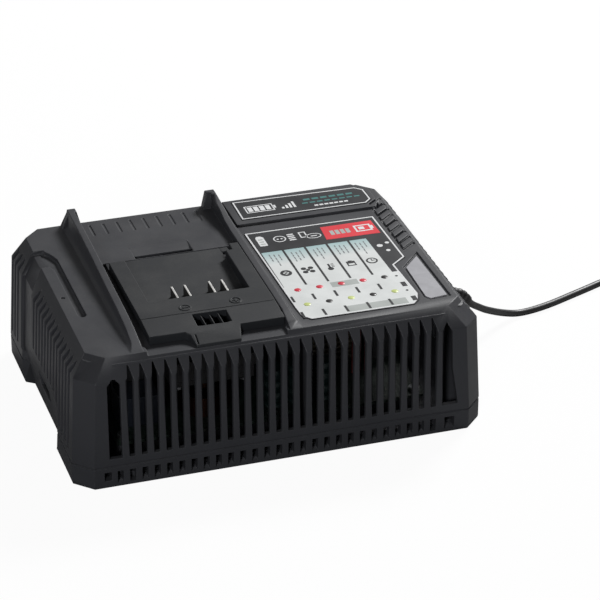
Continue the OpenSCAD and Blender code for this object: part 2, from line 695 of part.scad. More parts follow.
module air_duct() {
  z0 = fan_z0 + fan_h;
  h = fan_size / 2;
  color([0.20, 0.20, 0.21]) difference() {
    union() {
      difference() {
        span([fan_x - h, fan_y - h - 6.2, z0], [fan_x + h, fan_y + h, tub_z - 5.8]);
        span([fan_x - h + 1.6, fan_y - h - 4.6, z0 + 2], [fan_x + h - 1.6, fan_y + h - 1.6, tub_z - 7.2]);
      }
      span([-39, -56.2 - dd, tub_z - 7.2], [-16.8, -34 - dd, tub_z]);
      span([-50, -48 - dd, tub_z - 1.8], [-5.5, -38 - dd, tub_z]);
      for (x = [-1, 1], y = [-1, 1]) post(fan_x + x * fan_hole, fan_y + y * fan_hole, z0 + 1, tub_z - 6.6, 3);
    }
    post(fan_x, fan_y, z0 - 1, z0 + 2.5, fan_bore_r - 0.5);
    span([-37.4, -54.6 - dd, tub_z - 8], [-18.4, -35.6 - dd, tub_z + 1]);
    for (x = [-1, 1], y = [-1, 1]) post(fan_x + x * fan_hole, fan_y + y * fan_hole, z0 - 1, tub_z - 7.1, 1.45);
    for (p = duct_fix) post(p[0], p[1] - dd, tub_z - 2, tub_z + 1, 1.3);
  }
}
module duct_screws() {
  color([0.62, 0.63, 0.65]) for (p = duct_fix)
    screw_up(p[0], p[1] - dd, tub_z - 1.8, 0.9, 5, 2.2, 1.4);
}

// Main circuit board and what stands on it
board_top = board_z + board_t;
module circuit_board() {
  color([0.12, 0.38, 0.20]) difference() {
    plate([[-board_x, board_front], [7, board_front], [7, board_front + 3.5], [21, board_front + 3.5], [21, board_front],
      [board_x, board_front], [board_x, board_back], [-board_x, board_back]], board_z, board_top);
    for (p = board_posts) post(p[0], p[1], board_z - 1, board_top + 1, 1.3);
  }
}
trans_x = 40;
trans_y = 2;
trans_h = deck_h - 31;
module transformer_core() {
  color([0.20, 0.20, 0.21]) translate([trans_x, trans_y, board_top]) rotate([90, 0, 0])
    linear_extrude(height = 14, center = true) difference() {
      translate([-21, 0]) square([42, trans_h]);
      translate([-15, 6]) square([9, trans_h - 12]);
      translate([6, 6]) square([9, trans_h - 12]);
    }
}
module transformer_coil() {
  color([0.86, 0.70, 0.22]) translate([trans_x, trans_y, board_top]) {
    difference() {
      span([-14.7, -15, 6], [14.7, 15, trans_h - 6]);
      span([-6, -7, 5], [6, 7, trans_h]);
    }
    for (s = [-1, 1]) span([-14.7, s * 11.5 - 3.2, 0], [14.7, s * 11.5 + 3.2, 6.2]);
  }
}
module bulk_capacitors() {
  color([0.10, 0.13, 0.30]) for (x = [-46, -20]) difference() {
    post(x, 30, board_top, board_top + big_cap_h, 11);
    post(x, 30, board_top + big_cap_h - 0.6, board_top + big_cap_h + 1, 9.6);
  }
}
module output_capacitors() {
  color([0.12, 0.30, 0.28]) for (x = [4, 16, 28]) post(x, -42, board_top, board_top + 20, 5);
}
module heat_sinks() {
  color([0.72, 0.73, 0.75]) {
    translate([-dw, 0, 0]) {
      span([-57, -24, board_top], [-54, 12, board_top + 30]);
      for (i = [0:5]) span([-70, -24 + 6.8 * i, board_top], [-56.5, -22 + 6.8 * i, board_top + 30]);
    }
    translate([dw, 0, 0]) {
      span([63, -16, board_top], [66, 20, board_top + 26]);
      for (i = [0:5]) span([65.5, -16 + 6.8 * i, board_top], [72, -14 + 6.8 * i, board_top + 26]);
    }
  }
}
module power_transistors() {
  color([0.07, 0.07, 0.08]) {
    for (y = [-14, 4]) translate([-dw, 0, 0]) {
      span([-54, y - 5, board_top + 8], [-49.5, y + 5, board_top + 23]);
      for (k = [-2.5, 0, 2.5]) span([-52, y + k - 0.4, board_top], [-51.4, y + k + 0.4, board_top + 8.4]);
    }
    translate([dw, 0, 0]) span([58.5, 10, board_top + 6], [63, 20, board_top + 21]);
    for (y = [12.5, 15, 17.5]) translate([dw, 0, 0]) span([60.4, y - 0.4, board_top], [61, y + 0.4, board_top + 6.4]);
  }
}
module filter_choke() {
  color([0.70, 0.36, 0.14]) translate([-28, -32 - dd, board_top]) rotate_extrude($fn = 48)
    translate([5, 0]) square([8, 10]);
}
module relay() {
  color([0.10, 0.18, 0.42]) translate([-dw, -dd, 0]) span([-71, -43, board_top], [-52, -27.5, board_top + 15]);
}
module fuse() {
  color([0.80, 0.82, 0.84]) translate([30, 34, board_top + 5]) rotate([0, 90, 0]) cylinder(r = 2.6, h = 20);
}
module fuse_clips() {
  color([0.78, 0.78, 0.74]) for (x = [31, 45]) difference() {
    span([x, 30.6, board_top], [x + 4, 37.4, board_top + 6]);
    translate([x - 1, 34, board_top + 5]) rotate([0, 90, 0]) cylinder(r = 2.6, h = 6);
  }
}
module output_leads() {
  color([0.75, 0.12, 0.12]) for (x = blade_x) post(x, -1.5 - dd, board_top, term_z, 1);
}
module fan_leads() {
  color([0.10, 0.10, 0.11]) for (x = [fan_x - 9, fan_x - 6.6]) span([x - 0.5, fan_y + fan_size / 2 - 3, board_top],
    [x + 0.5, fan_y + fan_size / 2 - 2, fan_z0]);
}

// Mains lead where it enters
boot_x0 = half_w - 6;
boot_route = [for (p = [[101.5, 4, 30], [105, 4, 30.3], [108.5, 4, 30.6], [111.5, 4, 30.7], [114, 4.1, 30.3],
  [116.2, 4.2, 29.2], [118.2, 4.4, 27.5], [120.1, 5, 25]]) p + [dw, 0, 0]];
boot_r = [3.9, 3.6, 3.35, 3.1, 2.9, 2.75, 2.6, 2.45];
route = [for (p = [[120.1, 5, 25], [122, 6, 22.5], [124.4, 7.4, 20.2], [127.6, 9.2, 17.7], [132.4, 12, 14], [137.6, 15, 10.6],
  [142.6, 18, 7.5], [147.6, 20.5, 4.9], [152.6, 22.4, 2.9], [157.2, 23.5, 2], [162.6, 24.3, 1.9], [168.6, 25.7, 1.9],
  [175, 27.7, 1.9], [181.6, 30.2, 1.9], [188.2, 32.9, 1.9], [195, 35.6, 1.9], [201.8, 38.4, 1.9], [208.6, 41.2, 1.9],
  [216, 43.2, 1.9], [224, 43.4, 1.9], [231.5, 41.8, 1.9], [239, 39.7, 1.9], [246, 39.2, 1.9]]) p + [dw, 0, 0]];
coil_x = 262 + dw;
coil_y = 64;

function unit(v) = v / norm(v);
function run_dir(p, i) = unit(p[min(i + 1, len(p) - 1)] - p[max(i - 1, 0)]);
function side_dir(t) = unit(cross([0, 0, 1], t));
function ring_at(c, t, r, n) = [for (k = [0:n - 1])
  c + r * (cos(360 * (k + 0.5) / n) * side_dir(t) + sin(360 * (k + 0.5) / n) * cross(t, side_dir(t)))];
// Round tube swept along points p with a radius for each, from direction t0 to direction t1
module sweep(p, r, n, t0, t1) {
  m = len(p);
  polyhedron(
    points = [for (i = [0:m - 1]) for (q = ring_at(p[i], i == 0 ? t0 : (i == m - 1 ? t1 : run_dir(p, i)), r[i], n)) q],
    faces = concat(
      [[for (k = [0:n - 1]) k]],
      [[for (k = [n - 1:-1:0]) (m - 1) * n + k]],
      [for (i = [0:m - 2]) for (k = [0:n - 1]) [i * n + k, (i + 1) * n + k, (i + 1) * n + (k + 1) % n, i * n + (k + 1) % n]]
    )
  );
}
boot_end = unit(route[1] - boot_route[6]);

module cord_boot() {
  color([0.06, 0.06, 0.065]) {
    difference() {
      union() {
        translate([boot_x0 - 2, cord_y, cord_z]) rotate([0, 90, 0]) cylinder(r = 6.6, h = 1.6);
        translate([boot_x0 - 1, cord_y, cord_z]) rotate([0, 90, 0]) cylinder(r = 4.7, h = 9);
      }
      translate([boot_x0 - 4, cord_y, cord_z]) rotate([0, 90, 0]) cylinder(r = cord_d / 2, h = 9);
    }
    sweep(boot_route, boot_r, 16, [1, 0, 0], boot_end);
  }
}
module cord_inlet() {
  color([0.05, 0.05, 0.055]) translate([inlet_x, cord_y, cord_z]) rotate([0, 90, 0])
    cylinder(r = cord_d / 2, h = boot_x0 + 5 - inlet_x);
}
module cord_clamp() {
  color([0.24, 0.24, 0.26]) difference() {
    span([clamp_x - 3, -9.6, cord_z + 0.6], [clamp_x + 3, 17.6, cord_z + 4.4]);
    translate([inlet_x - 16, cord_y, cord_z]) rotate([0, 90, 0]) cylinder(r = cord_d / 2, h = 36);
    for (y = clamp_post_y) post(clamp_x, y, cord_z - 1, cord_z + 6, 1.3);
  }
}
module clamp_screws() {
  color([0.62, 0.63, 0.65]) for (y = clamp_post_y) screw_down(clamp_x, y, cord_z + 4.4, 1, 12, 2.6, 1.8);
}
module inlet_leads() {
  color([0.45, 0.28, 0.14]) for (s = [-1, 1]) translate([inlet_x - 76, cord_y + s * 0.85 + 0.6, 0]) rotate([90, 0, 0])
    linear_extrude(height = 1.2) polygon([
      [76, cord_z + 0.6],
      [75.2, cord_z + 0.6],
      [74.2, cord_z - 0.4],
      [74.2, board_top],
      [75.4, board_top],
      [75.4, cord_z - 0.9],
      [75.7, cord_z - 0.6],
      [76, cord_z - 0.6]
    ]);
}

module cord_tube() {
  color([0.05, 0.05, 0.055]) sweep(route, [for (p = route) cord_d / 2], 8, boot_end, [1, 0, 0]);
}
coil_r0 = coil_mean_d / 2 - 6.5;
coil_r1 = coil_mean_d / 2 + 6.5;
coil_h = 14.6;
tail_y = coil_y - 13.5;
tail_z = 6.8;
plug_x = coil_x + 40;
module cord_coil() {
  color([0.05, 0.05, 0.055]) difference() {
    union() {
      translate([coil_x, coil_y, 0]) rotate_extrude($fn = 64) polygon([
        [coil_r0, 1.4],
        [coil_r0 + 1.4, 0],
        [coil_r1 - 1.4, 0],
        [coil_r1, 1.4],
        [coil_r1, coil_h - 1.4],
        [coil_r1 - 1.4, coil_h],
        [coil_r0 + 1.4, coil_h],
        [coil_r0, coil_h - 1.4]
      ]);
      translate([246 + dw, 39.2, 1.9]) rotate([0, 90, 0]) cylinder(r = cord_d / 2, h = 15);
      translate([coil_x + 20, tail_y, tail_z]) rotate([0, 90, 0]) cylinder(r = cord_d / 2, h = plug_x - coil_x - 20);
    }
    span([coil_x + coil_r0 - 3, coil_y - 3.2, -1], [coil_x + coil_r1 + 3, coil_y + 3.2, 0.8]);
  }
}
module cord_tie() {
  color([0.10, 0.10, 0.11]) translate([coil_x, coil_y - 3, 0]) difference() {
    span([coil_r0 - 1.4, 0, 0], [coil_r1 + 1, 6, coil_h + 1]);
    span([coil_r0 - 0.5, -1, 0.8], [coil_r1 + 0.1, 7, coil_h]);
  }
}
module plug_boot() {
  color([0.06, 0.06, 0.065]) translate([plug_x, tail_y, tail_z]) rotate([0, 90, 0])
    cylinder(r1 = 2.6, r2 = 4.4, h = 18);
}
module plug_body() {
  color([0.07, 0.07, 0.075]) translate([plug_x + 18, tail_y, 0]) intersection() {
    linear_extrude(height = 13.6) polygon([[0, -7], [0, 7], [9, 13], [22, 17.4], [35, 17.4], [37, 15.4],
      [37, -15.4], [35, -17.4], [22, -17.4], [9, -13]]);
    rotate([90, 0, 90]) linear_extrude(height = 40) polygon([[-15.6, 0], [15.6, 0], [17.4, 3], [17.4, 10.6],
      [15.6, 13.6], [-15.6, 13.6], [-17.4, 10.6], [-17.4, 3]]);
  }
}
module plug_pins() {
  color([0.80, 0.80, 0.78]) for (s = [-1, 1]) translate([plug_x + 55, tail_y + s * 9.3, tail_z]) rotate([0, 90, 0])
    cylinder(r = 2, h = 19);
}

top_shell();
bottom_shell();
rubber_feet();
housing_screws();
dock_insert();
insert_screws();
contact_blades();
terminal_board();
terminal_screws();
status_label();
rear_label();
indicator_window();
light_guide();
led_board();
led_chips();
panel_screws();
panel_leads();
circuit_board();
board_screws();
transformer_core();
transformer_coil();
bulk_capacitors();
output_capacitors();
heat_sinks();
power_transistors();
filter_choke();
relay();
fuse();
fuse_clips();
output_leads();
fan_leads();
fan_frame();
fan_bush();
fan_coils();
fan_rotor();
fan_screws();
air_duct();
duct_screws();
cord_boot();
cord_inlet();
cord_clamp();
clamp_screws();
inlet_leads();
cord_tube();
cord_coil();
cord_tie();
plug_boot();
plug_body();
plug_pins();
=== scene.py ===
"""Bench charger for slide-on tool batteries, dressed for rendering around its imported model.

Sizes in the classes are millimetres, as on a drawing; every mesh is written in metres.
"""

import logging
import math
from dataclasses import dataclass, field
from enum import Enum
from typing import Callable, Iterable, Sequence

import bmesh
import bpy
from mathutils import Matrix, Vector
from mathutils.bvhtree import BVHTree
from mathutils.geometry import intersect_line_line_2d


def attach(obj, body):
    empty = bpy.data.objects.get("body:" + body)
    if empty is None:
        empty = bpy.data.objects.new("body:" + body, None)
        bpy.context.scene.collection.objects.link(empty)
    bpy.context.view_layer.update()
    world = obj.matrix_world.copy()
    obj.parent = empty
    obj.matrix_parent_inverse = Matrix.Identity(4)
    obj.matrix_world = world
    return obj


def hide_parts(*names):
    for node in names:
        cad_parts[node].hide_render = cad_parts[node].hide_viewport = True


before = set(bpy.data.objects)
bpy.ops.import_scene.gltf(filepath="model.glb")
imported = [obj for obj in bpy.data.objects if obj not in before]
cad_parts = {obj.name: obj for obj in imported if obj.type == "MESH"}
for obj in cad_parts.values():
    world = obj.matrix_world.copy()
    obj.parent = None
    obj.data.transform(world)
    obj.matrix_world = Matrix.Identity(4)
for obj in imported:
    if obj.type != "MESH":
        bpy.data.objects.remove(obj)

MM = 0.001
HOUSING = "housing"
LOG = logging.getLogger("charger")
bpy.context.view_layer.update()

Point2 = tuple[float, float]
Point3 = tuple[float, float, float]
Colour = tuple[float, float, float]
Box2 = tuple[float, float, float, float]
Mesh = bmesh.types.BMesh
Edge = bmesh.types.BMEdge
Corner = bmesh.types.BMVert
Node = bpy.types.Node
Socket = bpy.types.NodeSocket


def tone(red: float, green: float, blue: float) -> Colour:
    """Linear colour from display values between 0 and 255."""
    shares = (red / 255, green / 255, blue / 255)
    return tuple(s / 12.92 if s <= 0.04045 else ((s + 0.055) / 1.055) ** 2.4 for s in shares)


def shaded(colour: Colour, share: float, lift: float = 0.0) -> Colour:
    """A colour made darker or lighter by a share, and lifted."""
    return tuple(min(1.0, c * share + lift) for c in colour)


def eased(share: float) -> float:
    """A share between 0 and 1 that starts and ends gently."""
    return share * share * (3 - 2 * share)


# Shader helpers

MIDDLE = (0.3, 0.7)  # where most of a noise's values lie


class Wiring:
    """Adds nodes to one node tree and links them."""

    def __init__(self, tree: bpy.types.NodeTree) -> None:
        """Starts on a tree, whose nodes are removed first."""
        self.tree = tree
        self.tree.nodes.clear()

    def feed(self, target: Node, inputs: dict) -> None:
        """Gives a node's inputs their values or sockets.

        Args:
            target: The node.
            inputs: Values or sockets, by the input's name or number.
        """
        for key, value in inputs.items():
            if isinstance(value, Socket):
                self.tree.links.new(value, target.inputs[key])
            else:
                target.inputs[key].default_value = value

    def add(self, kind: str, inputs: dict | None = None, **settings: object) -> Node:
        """Adds one node.

        Args:
            kind: Blender's type name, without the ShaderNode prefix.
            inputs: Values or sockets for the node's inputs, by name or number.
            settings: Properties of the node.

        Returns:
            The new node.
        """
        prefix = "" if kind.startswith("Node") else "ShaderNode"
        made = self.tree.nodes.new(prefix + kind)
        for key, value in settings.items():
            setattr(made, key, value)
        self.feed(made, inputs or {})
        return made

    def sums(self, operation: str, first: object, second: object = 0.0, third: object = 0.0) -> Socket:
        """Result of a maths node on values or sockets."""
        return self.add("Math", {0: first, 1: second, 2: third}, operation=operation).outputs[0]

    def spread(self, value: Socket, low: float, high: float, out_low: float = 0.0,
               out_high: float = 1.0) -> Socket:
        """Maps a value from one range to another, held at its ends."""
        return self.add("MapRange", {0: value, 1: low, 2: high, 3: out_low, 4: out_high}).outputs[0]

    def blend(self, share: object, first: object, second: object) -> Socket:
        """Mixes two colours.

        Args:
            share: Share of the second colour.
            first: Colour or socket.
            second: Colour or socket.

        Returns:
            The mixed colour's socket.
        """
        made = self.add("Mix", data_type="RGBA")
        self.feed(made, {0: share} | {key: value if isinstance(value, Socket) else (*value, 1.0)
                                      for key, value in ((6, first), (7, second))})
        return made.outputs[2]

    def place(self) -> Socket:
        """Place on the object, in metres."""
        return self.add("TexCoord").outputs["Object"]

    def noise(self, place: Socket, scale: object, detail: float, roughness: float = 0.5,
              distortion: float = 0.0) -> Socket:
        """Value of a noise texture at a place."""
        inputs = {"Vector": place, "Scale": scale, "Detail": detail, "Roughness": roughness,
                  "Distortion": distortion}
        return self.add("TexNoise", inputs).outputs["Fac"]

    def cells(self, place: Socket, scale: object, **settings: object) -> Socket:
        """Distance to the nearest cell point of a Voronoi texture at a place."""
        return self.add("TexVoronoi", {"Vector": place, "Scale": scale}, **settings).outputs["Distance"]

    def bump(self, height: Socket, depth: float, strength: float, under: Socket | None = None) -> Socket:
        """Makes the normal of a relief.

        Args:
            height: Height of the relief, about 0 to 1.
            depth: Depth of the relief in metres.
            strength: Share of the relief that is used.
            under: Normal that the relief sits on.

        Returns:
            The normal's socket.
        """
        inputs = {"Height": height, "Distance": depth, "Strength": strength}
        if under is not None:
            inputs["Normal"] = under
        return self.add("Bump", inputs).outputs[0]


@dataclass
class SharedGroup:
    """A node group that several materials use."""

    name: str
    inputs: dict[str, tuple[str, object]]
    outputs: dict[str, str]
    build: Callable[[Wiring, bpy.types.NodeOutputs], dict[str, Socket]]
    tree: bpy.types.NodeTree | None = None

    def made(self) -> bpy.types.NodeTree:
        """Builds the group the first time and returns it.

        Returns:
            The group's node tree.
        """
        if self.tree is None:
            self.tree = bpy.data.node_groups.new(self.name, "ShaderNodeTree")
            for label, (kind, value) in self.inputs.items():
                socket = self.tree.interface.new_socket(label, in_out="INPUT", socket_type=kind)
                socket.default_value = value
            for label, kind in self.outputs.items():
                self.tree.interface.new_socket(label, in_out="OUTPUT", socket_type=kind)
            wiring = Wiring(self.tree)
            wiring.add("NodeGroupOutput", self.build(wiring, wiring.add("NodeGroupInput").outputs))
        return self.tree

    def place(self, wiring: Wiring, **values: object) -> bpy.types.NodeOutputs:
        """Places the group in a material.

        Args:
            wiring: The material's wiring.
            values: Values or sockets for the group's inputs.

        Returns:
            The group node's outputs.
        """
        return wiring.add("Group", values, node_tree=self.made()).outputs


FLOAT = "NodeSocketFloat"
VECTOR = "NodeSocketVector"


def build_grain(w: Wiring, given: bpy.types.NodeOutputs) -> dict[str, Socket]:
    """Fine spark-eroded mould texture with a slow unevenness under it.

    Args:
        w: The group's wiring.
        given: The group's inputs.

    Returns:
        The group's results.
    """
    place = w.place()
    fine = w.noise(place, given["Cell"], 2.0, 0.6)
    pits = w.cells(place, w.sums("MULTIPLY", given["Cell"], 0.62), feature="SMOOTH_F1")
    height = w.sums("MULTIPLY_ADD", pits, 0.7, fine)
    return {"Height": height, "Mottle": w.noise(place, 55.0, 4.0, 0.55), "Speck": fine}


def build_edges(w: Wiring, given: bpy.types.NodeOutputs) -> dict[str, Socket]:
    """Mask of worn edges, also used to paint a highlight along them, and the normal that rounds them.

    Args:
        w: The group's wiring.
        given: The group's inputs.

    Returns:
        The group's results.
    """
    soft = w.add("Bevel", {"Radius": given["Radius"]}, samples=6).outputs["Normal"]
    flat = w.add("NewGeometry").outputs["Normal"]
    meet = w.add("VectorMath", {0: soft, 1: flat}, operation="DOT_PRODUCT").outputs["Value"]
    kept = w.spread(w.noise(w.place(), 260.0, 5.0, 0.65), 0.32, 0.62, 0.35)
    return {"Mask": w.sums("MULTIPLY", w.spread(meet, 0.995, 0.80), kept), "Normal": soft}


def build_dust(w: Wiring, given: bpy.types.NodeOutputs) -> dict[str, Socket]:
    """Thin dust that settles on what faces up.

    Args:
        w: The group's wiring.
        given: The group's inputs.

    Returns:
        The group's results.
    """
    place = w.place()
    height = w.add("SeparateXYZ", {0: w.add("NewGeometry").outputs["Normal"]}).outputs[2]
    cloud = w.spread(w.noise(place, 38.0, 7.0, 0.68), 0.42, 0.72, 0.25)
    specks = w.spread(w.noise(place, 1500.0, 1.0), 0.45, 0.75, 0.5)
    laid = w.sums("MULTIPLY", cloud, w.spread(height, 0.5, 0.98))
    return {"Mask": w.sums("MULTIPLY", w.sums("MULTIPLY", laid, specks), given["Amount"])}


def build_drawn(w: Wiring, given: bpy.types.NodeOutputs) -> dict[str, Socket]:
    """Fine parallel lines of drawn or brushed metal along one axis.

    Args:
        w: The group's wiring.
        given: The group's inputs.

    Returns:
        The group's results.
    """
    place = w.place()
    pulled = w.add("VectorMath", {0: place, 1: given["Pull"]}, operation="MULTIPLY").outputs[0]
    return {"Lines": w.noise(pulled, 1.0, 4.0, 0.7), "Stain": w.noise(place, 120.0, 3.0)}


GRAIN = SharedGroup("mould_grain", {"Cell": (FLOAT, 2600.0)},
                    {"Height": FLOAT, "Mottle": FLOAT, "Speck": FLOAT}, build_grain)
EDGES = SharedGroup("edge_wear_and_highlight", {"Radius": (FLOAT, 0.0005)}, {"Mask": FLOAT, "Normal": VECTOR}, build_edges)
DUST = SharedGroup("settled_dust", {"Amount": (FLOAT, 0.3)}, {"Mask": FLOAT}, build_dust)
DRAWN = SharedGroup("drawn_metal", {"Pull": (VECTOR, (1.0, 1.0, 1.0))}, {"Lines": FLOAT, "Stain": FLOAT},
                    build_drawn)


# Finishes


@dataclass(frozen=True)
class Finish:
    """What every finish has: a name, a colour and a roughness."""

    name: str
    colour: Colour
    roughness: float

    def material(self) -> bpy.types.Material:
        """Builds the material the first time it is asked for.

        Returns:
            The material.
        """
        title = f"{self.name}_finish"
        known = bpy.data.materials.get(title)
        if known is not None:
            return known
        made = bpy.data.materials.new(title)
        made.use_nodes = True
        w = Wiring(made.node_tree)
        shader = w.add("BsdfPrincipled", {"Roughness": self.roughness, "Base Color": (*self.colour, 1.0)})
        w.add("OutputMaterial", {"Surface": shader.outputs[0]})
        w.feed(shader, self.detail(w))
        made.diffuse_color = (*self.colour, 1.0)
        return made

    def detail(self, w: Wiring) -> dict[str, object]:
        """Makes this finish's detail.

        Args:
            w: The material's wiring.

        Returns:
            Values and sockets for the shader's inputs.
        """
        raise NotImplementedError


@dataclass(frozen=True)
class Moulded(Finish):
    """Moulded plastic with a fine grain, softened edges lightened by wear and a painted highlight, and a
    little dust.
    """

    cell: float = 2600.0
    depth: float = 0.00004
    edge_radius: float = 0.0005
    wear_and_highlight_gain: float = 0.35
    dust: float = 0.12
    dust_colour: Colour = tone(150, 148, 144)
    gloss: float = 0.5
    mottle: float = 0.10
    rough_swing: float = 0.05
    least_rough: float = 0.08

    def detail(self, w: Wiring) -> dict[str, object]:
        """Makes the grain, the edge wear with its painted highlight, and the dust.

        Args:
            w: The material's wiring.

        Returns:
            Values and sockets for the shader's inputs.
        """
        grain = GRAIN.place(w, Cell=self.cell)
        edges = EDGES.place(w, Radius=self.edge_radius)
        dust = DUST.place(w, Amount=self.dust)["Mask"]
        deep, pale = shaded(self.colour, 1 - self.mottle), shaded(self.colour, 1 + self.mottle)
        body = w.blend(grain["Mottle"], deep, pale)
        speck = w.spread(grain["Speck"], 0.55, 0.8, 0.0, 0.25)
        body = w.blend(speck, body, shaded(self.colour, 1.5, 0.004))
        # Edges are lightened for wear and as a painted highlight.
        worn_and_highlit = shaded(self.colour, 1 + 2.2 * self.wear_and_highlight_gain, 0.02 * self.wear_and_highlight_gain)
        body = w.blend(w.sums("MULTIPLY", edges["Mask"], self.wear_and_highlight_gain), body, worn_and_highlit)
        low, high = self.roughness - self.rough_swing, self.roughness + self.rough_swing
        rough = w.spread(grain["Mottle"], *MIDDLE, low, high)
        rough = w.sums("MULTIPLY_ADD", edges["Mask"], -0.10, rough)
        rough = w.sums("MULTIPLY_ADD", dust, 0.4, rough)
        return {"Base Color": w.blend(dust, body, self.dust_colour), "Specular IOR Level": self.gloss,
                "Roughness": w.sums("MAXIMUM", rough, self.least_rough),
                "Normal": w.bump(grain["Height"], self.depth, 0.5, edges["Normal"])}


@dataclass(frozen=True)
class Metal(Finish):
    """Drawn, stamped or plated metal."""

    pull: Point3 = (600.0, 6000.0, 6000.0)
    stain: float = 0.15
    dark: float = 0.75
    edge_radius: float = 0.0002
    depth: float = 0.00001

    def detail(self, w: Wiring) -> dict[str, object]:
        """Makes the drawn lines, stains and rounded edges.

        Args:
            w: The material's wiring.

        Returns:
            Values and sockets for the shader's inputs.
        """
        drawn = DRAWN.place(w, Pull=self.pull)
        edges = EDGES.place(w, Radius=self.edge_radius)
        body = w.blend(w.spread(drawn["Lines"], *MIDDLE), shaded(self.colour, self.dark), self.colour)
        tarnish = w.spread(drawn["Stain"], 0.5, 0.75, 0.0, self.stain)
        rough = w.spread(drawn["Lines"], 0.25, 0.75, self.roughness * 0.7, self.roughness * 1.35)
        return {"Metallic": 1.0, "Base Color": w.blend(tarnish, body, shaded(self.colour, 0.45)),
                "Roughness": rough,
                "Normal": w.bump(drawn["Lines"], self.depth, 0.35, edges["Normal"])}


@dataclass(frozen=True)
class Printed(Finish):
    """Screen-printed ink or coated film with a fine dot and fading."""

    dots: float = 5200.0
    fade: float = 0.08
    coat: float = 0.3
    coat_roughness: float = 0.12
    gloss: float = 0.25
    depth: float = 0.00002
    head: Colour | None = None
    head_from: float = 0.0
    head_to: float = 0.01

    def detail(self, w: Wiring) -> dict[str, object]:
        """Makes the dot, the fading and the tint towards the head of the print.

        Args:
            w: The material's wiring.

        Returns:
            Values and sockets for the shader's inputs.
        """
        place = w.place()
        cloud = w.noise(place, 70.0, 5.0, 0.6)
        faded = shaded(self.colour, 1 - self.fade)
        body = w.blend(w.spread(cloud, 0.35, 0.65), faded, self.colour)
        body = w.blend(w.spread(w.cells(place, self.dots), 0.1, 0.7, 0.0, self.fade), body, faded)
        if self.head is not None:
            along = w.add("SeparateXYZ", {0: place}).outputs[1]
            body = w.blend(w.spread(along, self.head_from, self.head_to), body, self.head)
        rough = w.spread(cloud, *MIDDLE, self.roughness - 0.04, self.roughness + 0.06)
        return {"Base Color": body, "Roughness": rough, "Specular IOR Level": self.gloss,
                "Coat Weight": self.coat, "Coat Roughness": self.coat_roughness,
                "Normal": w.bump(w.noise(place, 420.0, 2.0), self.depth, 0.25)}


@dataclass(frozen=True)
class Clear(Finish):
    """Clear or frosted plastic and glass."""

    passing: float = 0.8
    cloud: float = 0.15
    ior: float = 1.49
    depth: float = 0.00003

    def detail(self, w: Wiring) -> dict[str, object]:
        """Makes the clouding inside and a faint flow pattern.

        Args:
            w: The material's wiring.

        Returns:
            Values and sockets for the shader's inputs.
        """
        place = w.place()
        flow = w.spread(w.noise(place, 160.0, 4.0, distortion=0.6), *MIDDLE)
        fine = w.noise(place, 1800.0, 2.0)
        return {"Base Color": w.blend(flow, shaded(self.colour, 1 - self.cloud), self.colour),
                "Roughness": w.spread(fine, *MIDDLE, self.roughness * 0.8, self.roughness * 1.25),
                "Transmission Weight": self.passing, "IOR": self.ior,
                "Normal": w.bump(fine, self.depth, 0.3)}


@dataclass(frozen=True)
class Wound(Finish):
    """Windings, ribbed sleeves and stranded leads: fine turns across one axis."""

    turn: float = 0.0006
    metal: float = 0.0
    gap: float = 0.45

    def detail(self, w: Wiring) -> dict[str, object]:
        """Makes the turns as bump and darker gaps.

        Args:
            w: The material's wiring.

        Returns:
            Values and sockets for the shader's inputs.
        """
        place = w.place()
        height = w.add("SeparateXYZ", {0: place}).outputs[2]
        wobble = w.noise(place, 240.0, 3.0)
        shifted = w.sums("MULTIPLY_ADD", wobble, self.turn * 0.6, height)
        wave = w.spread(w.sums("SINE", w.sums("MULTIPLY", shifted, 2 * math.pi / self.turn)), -1.0, 1.0)
        body = w.blend(wave, shaded(self.colour, self.gap), self.colour)
        return {"Base Color": w.blend(w.spread(wobble, 0.4, 0.7, 0.0, 0.3), body, shaded(self.colour, 1.25)),
                "Roughness": w.spread(wobble, *MIDDLE, self.roughness - 0.06, self.roughness + 0.08),
                "Metallic": self.metal, "Normal": w.bump(wave, self.turn * 0.25, 0.6)}


@dataclass(frozen=True)
class Laminate(Finish):
    """Circuit board: solder mask over tracks, with silver pads."""

    track: float = 260.0
    depth: float = 0.00004
    pad_colour: Colour = tone(90, 90, 86)

    def detail(self, w: Wiring) -> dict[str, object]:
        """Makes the tracks under the mask and a scatter of pads.

        Args:
            w: The material's wiring.

        Returns:
            Values and sockets for the shader's inputs.
        """
        place = w.place()
        steps = w.sums("PINGPONG", w.cells(place, self.track, feature="F1", distance="CHEBYCHEV"), 0.22)
        tracks = w.spread(steps, 0.10, 0.13)
        pads = w.spread(w.cells(place, self.track * 0.9), 0.12, 0.16, 1.0, 0.0)
        weave = w.spread(w.noise(place, 3000.0, 2.0), 0.4, 0.7, 0.0, 0.2)
        body = w.blend(pads, w.blend(tracks, self.colour, shaded(self.colour, 1.7, 0.01)), self.pad_colour)
        return {"Base Color": w.blend(weave, body, shaded(self.colour, 0.6)),
                "Metallic": w.sums("MULTIPLY", pads, 0.9),
                "Normal": w.bump(w.sums("ADD", tracks, pads), self.depth, 0.5)}


